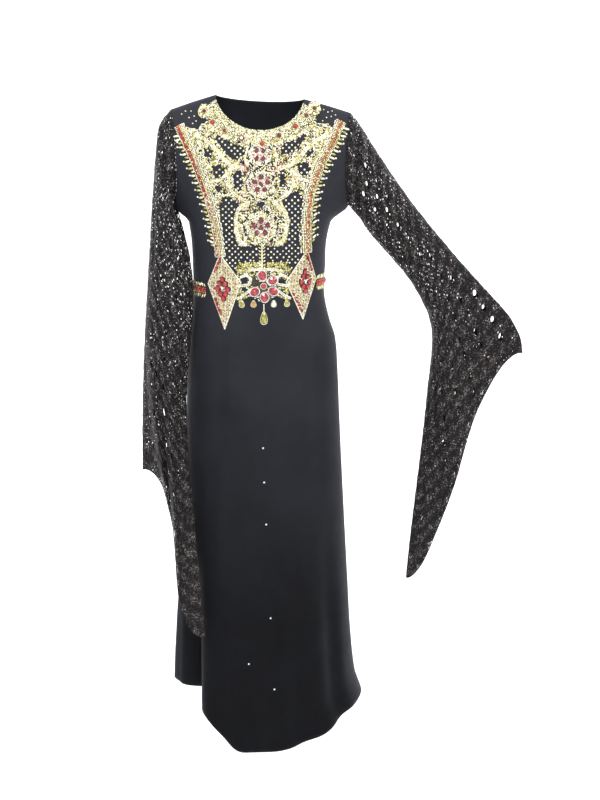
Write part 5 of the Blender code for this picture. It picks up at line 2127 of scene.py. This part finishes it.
    def add_leaves(self) -> None:
        """Scatter leaf beads over the filigree, more of them out towards the bead strips."""
        for _ in range(self.stray_leaves):
            x, z = self.luck.uniform(-0.155, 0.155), self.luck.uniform(self.low_edge, -0.06)
            if self.luck.random() > 0.15 + abs(x) / 0.13 or self.height_at(x, z) is None:
                continue
            size = self.luck.uniform(0.8, 1.2)
            kind = self.luck.choice((Bead.GOLD, Bead.PALE, Bead.PALE, Bead.OLIVE, Bead.OLIVE))
            turn = math.copysign(self.luck.choice((35, 35, 120, 70)), -x) + self.luck.uniform(-25, 25)
            self.sew(BeadShape.LEAF, kind, x, z, (0.0019 * size, 0.0046 * size, 0.0026), turn, 0.0006)

    def add_scroll(self, route: Sequence[tuple], half: float) -> None:
        """Sew one raised line, as close rows of beads.

        Args:
            route: the line's points.
            half: half its width.
        """
        rows = max(2, round(2 * half / 0.003))
        for row in range(rows):
            off = half * (2 * (row + 0.5) / rows - 1)
            for x, z, run_x, run_z in curve_through(route, 0.0034):
                sway = off + self.luck.uniform(-0.0006, 0.0006)
                kind = self.luck.choice((Bead.PALE, Bead.PALE, Bead.WHITE, Bead.GOLD, Bead.PALE))
                self.seed(kind, x - run_z * sway, z + run_x * sway, 0.0018 * self.luck.uniform(0.85, 1.15),
                          0.0012)


@dataclass
class WindowStuds(BeadPiece):
    """The small round studs in the black windows of the filigree."""

    windows: tuple
    others: Sequence[bpy.types.Object]
    pitch: float = 0.0126
    radius: float = 0.0022
    middle: float = 0.0045
    top: float = -0.072
    bottom: float = -0.356

    def lay(self) -> None:
        """Sew the studs, wherever none of the other beadwork lies."""
        spots = np.concatenate([
            np.array([vert.co for vert in obj.data.vertices], float)[:, (0, 2)] for obj in self.others])
        for line in range(int((self.top - self.bottom) / (self.pitch / 2))):
            for n in range(-14, 15):
                x = self.middle + (n + 0.5 * (line % 2)) * self.pitch + self.luck.uniform(-0.0007, 0.0007)
                z = self.top - line * self.pitch / 2 + self.luck.uniform(-0.0006, 0.0006)
                if not any(within(x, z, window) for window in self.windows):
                    continue
                if np.min(np.hypot(spots[:, 0] - x, spots[:, 1] - z)) > 0.0027:
                    kind = Bead.PALE if self.luck.random() < 0.75 else Bead.WHITE
                    self.round(kind, x, z, self.radius * self.luck.uniform(0.85, 1.1))


@dataclass
class WaistLines(BeadPiece):
    """The crystal lines, leaves and small beads that join the belt flower to the two plates."""

    lines: tuple = (
        ((-0.02, -0.376), (-0.03, -0.369), (-0.042, -0.373)),
        ((-0.02, -0.376), (-0.0235, -0.388), (-0.033, -0.39), (-0.045, -0.3925)),
        ((-0.019, -0.399), (-0.029, -0.406), (-0.04, -0.415), (-0.05, -0.42)),
        ((-0.03, -0.369), (-0.024, -0.358), (-0.008, -0.356), (0.003, -0.356)),
    )
    leaves: tuple = (
        (-0.042, -0.344, -30), (-0.036, -0.352, 40), (-0.029, -0.347, -20), (-0.022, -0.352, 35),
        (-0.012, -0.345, -15), (-0.006, -0.35, 30), (-0.048, -0.358, -60), (-0.036, -0.36, -80),
        (-0.031, -0.416, 70), (-0.043, -0.406, 80), (-0.044, -0.424, 40), (-0.026, -0.362, -45),
    )
    bed: tuple = ((-0.052, -0.352), (-0.04, -0.34), (0.05, -0.34), (0.064, -0.352), (0.068, -0.38),
                  (0.056, -0.424), (0.036, -0.414), (-0.022, -0.414), (-0.048, -0.43), (-0.052, -0.4))
    holes: tuple = ((-0.0145, -0.381, 0.0058), (-0.034, -0.38, 0.0075), (0.045, -0.384, 0.0085),
                    (0.047, -0.407, 0.0075), (-0.034, -0.402, 0.007), (0.006, -0.392, 0.03))
    middle: float = 0.0065

    def height_at(self, x: float, z: float) -> float | None:
        """Find the foot of a small bead.

        Args:
            x: the place across.
            z: the place upwards.

        Returns:
            The height, or None off the bed and in its holes.
        """
        in_hole = any(math.hypot(x - a, z - b) < r for a, b, r in self.holes)
        return 0.0 if within(x, z, self.bed) and not in_hole else None

    def lay(self) -> None:
        """Sew the lines."""
        for line in self.lines:
            for route in (line, mirrored(line, self.middle)):
                for off in (-0.0016, 0.0016):
                    for n, (x, z, run_x, run_z) in enumerate(curve_through(route, 0.0032)):
                        kind = Bead.WHITE if n % 2 else Bead.PALE
                        self.seed(kind, x - run_z * off, z + run_x * off, 0.0017, 0.001)
        for x, z, turn in self.leaves:
            for a, heading in ((x, turn), (2 * self.middle - x, -turn)):
                self.sew(BeadShape.LEAF, Bead.OLIVE, a, z, (0.0028, 0.0064, 0.0026), heading, 0.0006)
                self.round(Bead.PALE, a + 0.0062 * math.sin(math.radians(heading)),
                           z + 0.0084 * math.cos(math.radians(heading)), 0.0018)
        self.fill((-0.056, -0.43, 0.07, -0.338), 0.003, self.height_at,
                  (Bead.PALE, Bead.GOLD, Bead.OLIVE, Bead.PALE, Bead.OLIVE), 0.0016, 0.42)


@dataclass
class SkirtStones(BeadPiece):
    """The few small crystals sewn far apart down the skirt."""

    places: tuple = (
        (0.004, -0.743), (0.006, -0.819), (0.01, -0.914), (0.019, -1.126), (-0.03, -1.233), (0.027, -1.287),
    )
    size: tuple = (0.002, 0.002, 0.0014)

    def lay(self) -> None:
        """Sew the crystals."""
        for x, z in self.places:
            self.sew(BeadShape.STONE, Bead.WHITE, x, z, self.size)


# The studio


@dataclass(frozen=True)
class Lamp:
    """A soft lamp: where it hangs, where it points, its size and its power."""

    name: str
    place: tuple
    aim: tuple
    size: float
    power: float
    colour: tuple = (1.0, 1.0, 1.0)


@dataclass(frozen=True)
class Studio:
    """A pale floor that curves up behind the gown, soft lamps and the camera."""

    floor: float = -1.62
    back: float = 4.4
    bend: float = 1.2
    half_width: float = 8.0
    wall_top: float = 7.0
    camera_place: tuple = (0.084, -3.0, 0.03)
    camera_pitch: float = 13.0
    camera_lens: float = 61.97
    lamps: tuple = (
        Lamp("front_lamp", (-0.7, -1.9, 1.2), (0.03, 0.0, -0.25), 0.8, 36.0),
        Lamp("side_lamp", (1.7, -1.3, 0.8), (0.1, 0.0, -0.3), 0.9, 14.0),
        Lamp("high_lamp", (0.2, -0.4, 1.9), (0.1, 0.0, -0.4), 1.0, 14.0),
        Lamp("wall_lamp_left", (-3.2, 2.4, 0.8), (-1.0, 4.4, -0.4), 1.4, 60.0),
        Lamp("wall_lamp_right", (3.4, 2.4, 0.8), (1.2, 4.4, -0.4), 1.4, 60.0),
    )

    def build(self) -> None:
        """Make the floor, the lamps, the sky and the camera."""
        self.add_sweep()
        for lamp in self.lamps:
            data = bpy.data.lights.new(lamp.name, "AREA")
            data.shape = "DISK"
            data.size = lamp.size
            data.energy = lamp.power
            data.color = lamp.colour
            obj = bpy.data.objects.new(lamp.name, data)
            obj.location = lamp.place
            aim = Vector(lamp.aim) - Vector(lamp.place)
            obj.rotation_euler = aim.to_track_quat("-Z", "Y").to_euler()
            bpy.context.scene.collection.objects.link(obj)
        world = bpy.data.worlds.new("studio_sky")
        world.use_nodes = True
        world.node_tree.nodes["Background"].inputs["Color"].default_value = (0.97, 0.98, 1.0, 1.0)
        world.node_tree.nodes["Background"].inputs["Strength"].default_value = 0.8
        bpy.context.scene.world = world
        data = bpy.data.cameras.new("photo_camera")
        data.lens = self.camera_lens
        data.sensor_width = 36.0
        data.clip_start, data.clip_end = 0.05, 60.0
        camera = bpy.data.objects.new("photo_camera", data)
        camera.location = self.camera_place
        camera.rotation_euler = (math.radians(90 - self.camera_pitch), 0.0, 0.0)
        bpy.context.scene.collection.objects.link(camera)
        bpy.context.scene.camera = camera
        bpy.context.scene.view_settings.view_transform = "Standard"

    def add_sweep(self) -> None:
        """Make the pale floor and the wall that it curves up into."""
        profile = [(-self.half_width, 0.0), (self.back - self.bend, 0.0)]
        for turn in range(6, 91, 6):
            angle = math.radians(turn)
            profile.append((self.back + self.bend * (math.sin(angle) - 1), self.bend * (1 - math.cos(angle))))
        profile.append((self.back, self.wall_top))
        points = [(x, y, self.floor + z) for y, z in profile for x in (-self.half_width, self.half_width)]
        faces = [(2 * n, 2 * n + 1, 2 * n + 3, 2 * n + 2) for n in range(len(profile) - 1)]
        sweep = mesh_object("studio_floor", points, faces)
        bench = NodeBench("pale_floor")
        stops = ((0.3, (0.9, 0.9, 0.9)), (0.7, (0.94, 0.94, 0.94)))
        bench.colour(bench.ramp(bench.noise(1.5), stops))
        bench.plain(Roughness=0.9, Emission_Color=(1.0, 1.0, 1.0, 1.0), Emission_Strength=0.36)
        sweep.data.materials.append(bench.material)


def build_cloth() -> ClothSurface:
    """Make the crepe gown and the lace sleeves.

    Returns:
        The surface of the front.
    """
    crepe, lace = CrepeFinish().make(), LaceFinish().make()
    front = GownPanel("gown_front", Face.FRONT, FRONT_CREASES, (0.62, 1.46), 0.65)
    back = GownPanel("gown_back", Face.BACK, BACK_CREASES, (0.66, 1.44), 0.65)
    front_cloth = front.build(crepe)
    surface = ClothSurface(front_cloth)
    front.dress(front_cloth)
    back.dress(back.build(crepe))
    halves = (
        (Side.LEFT, "left", LEFT_SLEEVE, LEFT_RIPPLES, LEFT_RUCKS, (0.44, 0.96), 0.137),
        (Side.RIGHT, "right", RIGHT_SLEEVE, RIGHT_RIPPLES, RIGHT_RUCKS, (0.5, 0.9), 0.138),
    )
    for side, word, rows, ripples, rucks, flat, area in halves:
        for face in Face:
            half = face.name.lower()
            LaceHalf(f"lace_{word}_{half}", side, face, rows, ripples, rucks, flat, area).build(lace)
    return surface


def build_beadwork(surface: ClothSurface) -> None:
    """Make every bead piece of the front.

    Args:
        surface: the front's outer cloth.
    """
    materials = {kind: kind.value.make() for kind in Bead}
    pale, rope = (Bead.PALE,), (Bead.CORAL, Bead.CORAL, Bead.RED)
    upper_left = (pale, rope, rope, (Bead.GOLD,), (Bead.PALE, Bead.GOLD), pale, (Bead.PALE, Bead.WHITE))
    lower_left = (pale, (Bead.CORAL, Bead.PINK), (Bead.PINK, Bead.GOLD), (Bead.GOLD, Bead.PALE),
                  (Bead.COPPER, Bead.PALE), pale, (Bead.PALE, Bead.WHITE))
    upper_right = ((Bead.PALE, Bead.WHITE), pale, (Bead.COPPER, Bead.PALE), (Bead.COPPER,),
                   (Bead.COPPER, Bead.CORAL), (Bead.GOLD,), pale)
    v_left = ((-0.17, -0.06), (-0.153, -0.095), (-0.129, -0.147), (-0.104, -0.215), (-0.089, -0.282),
              (-0.084, -0.33))
    v_right = ((0.17, -0.052), (0.15, -0.095), (0.124, -0.143), (0.105, -0.197), (0.098, -0.261),
               (0.097, -0.322))
    five = (0, 72, 144, 216, 288)
    left_heart = ((0.0, 0.02, 0.0046), (-0.0058, 0.0105, 0.005), (0.006, 0.01, 0.005),
                  (-0.0105, -0.001, 0.0052), (0.0, 0.001, 0.0028), (0.0105, -0.001, 0.0052),
                  (-0.0045, -0.011, 0.0052), (0.0062, -0.011, 0.005), (0.0015, -0.0215, 0.005))
    right_heart = ((0.0, 0.021, 0.0042), (-0.0038, 0.0115, 0.0044), (0.0048, 0.0105, 0.0044),
                   (-0.0078, 0.0, 0.0046), (0.0005, 0.0, 0.0028), (0.0084, -0.001, 0.0044),
                   (-0.0035, -0.0105, 0.0046), (0.0048, -0.011, 0.0044), (0.0, -0.021, 0.0044))
    neckline = NecklineBand("neckline_beads", "neckline_band")
    rosettes = (
        Rosette("rosette_upper_stones", "rosette_upper", 0.001, -0.1165, 0.025, (42, 138, 222, 318),
                0.0105, 0.0036, 0.0),
        Rosette("rosette_middle_stones", "rosette_middle", 0.003, -0.177, 0.03, five,
                0.0142, 0.0042, 0.004),
        Rosette("rosette_lower_stones", "rosette_lower", 0.002, -0.266, 0.034, five,
                0.0142, 0.0045, 0.0044),
    )
    round_spots = tuple((motif.x, motif.z, motif.radius) for motif in rosettes)
    filigree = ChestFiligree("chest_filigree", "", neckline, (v_left, v_right), round_spots)
    parts = (
        neckline,
        VBand("v_band_left_beads", "v_band_left", Side.LEFT, v_left, upper_left, lower_left),
        VBand("v_band_right_beads", "v_band_right", Side.RIGHT, v_right, upper_right, upper_right),
        *rosettes,
        BeltFlower("belt_flower_stones", "belt_flower"),
        BeltDiamond("belt_diamond_left_beads", "belt_diamond_left",
                    ((-0.085, -0.325), (-0.041, -0.384), (-0.077, -0.487), (-0.113, -0.391)),
                    (-0.08, -0.399), left_heart, ((3, 0.55, 0.95), (2, 0.3, 0.62)), 0.05),
        BeltDiamond("belt_diamond_right_beads", "belt_diamond_right",
                    ((0.099, -0.317), (0.118, -0.382), (0.09, -0.467), (0.054, -0.384)),
                    (0.0935, -0.385), right_heart, ((0, 0.08, 0.62), (2, 0.15, 0.62)), 0.09),
        BeltDrop("belt_drop_1_stone", "belt_drop_1", -0.04, -0.431, 0.0055, 0.008, Bead.OLIVE),
        BeltDrop("belt_drop_2_stone", "belt_drop_2", -0.015, -0.4305, 0.0055, 0.0075, Bead.AMBER),
        BeltDrop("belt_drop_3_stone", "belt_drop_3", 0.028, -0.4305, 0.0055, 0.0075, Bead.WHITE),
        BeltDrop("belt_drop_4_stone", "belt_drop_4", 0.056, -0.43, 0.0055, 0.008, Bead.OLIVE),
        BeltDrop("belt_pendant_stone", "belt_pendant", 0.007, -0.461, 0.0075, 0.014, Bead.OLIVE, 0.016),
        BeltStrap("belt_strap_left_beads", "belt_strap_left", (-86.0, -51.5), (-0.405, -0.407), -1),
        BeltStrap("belt_strap_right_beads", "belt_strap_right", (61.5, 86.0), (-0.392, -0.391), 1),
        filigree,
        WaistLines("waist_lines", ""),
    )
    pieces = [part.build(surface, materials) for part in parts]
    WindowStuds("window_studs", "", filigree.windows, pieces).build(surface, materials)
    SkirtStones("skirt_stones", "").build(surface, materials)


def write_size() -> None:
    """Update the view layer."""
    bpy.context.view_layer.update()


def main() -> None:
    """Build the studio, the cloth and the beadwork, in that order."""
    logging.basicConfig(level=logging.INFO, format="%(name)s: %(message)s")
    Studio().build()
    surface = build_cloth()
    build_beadwork(surface)
    write_size()


if __name__ == "__main__":
    main()
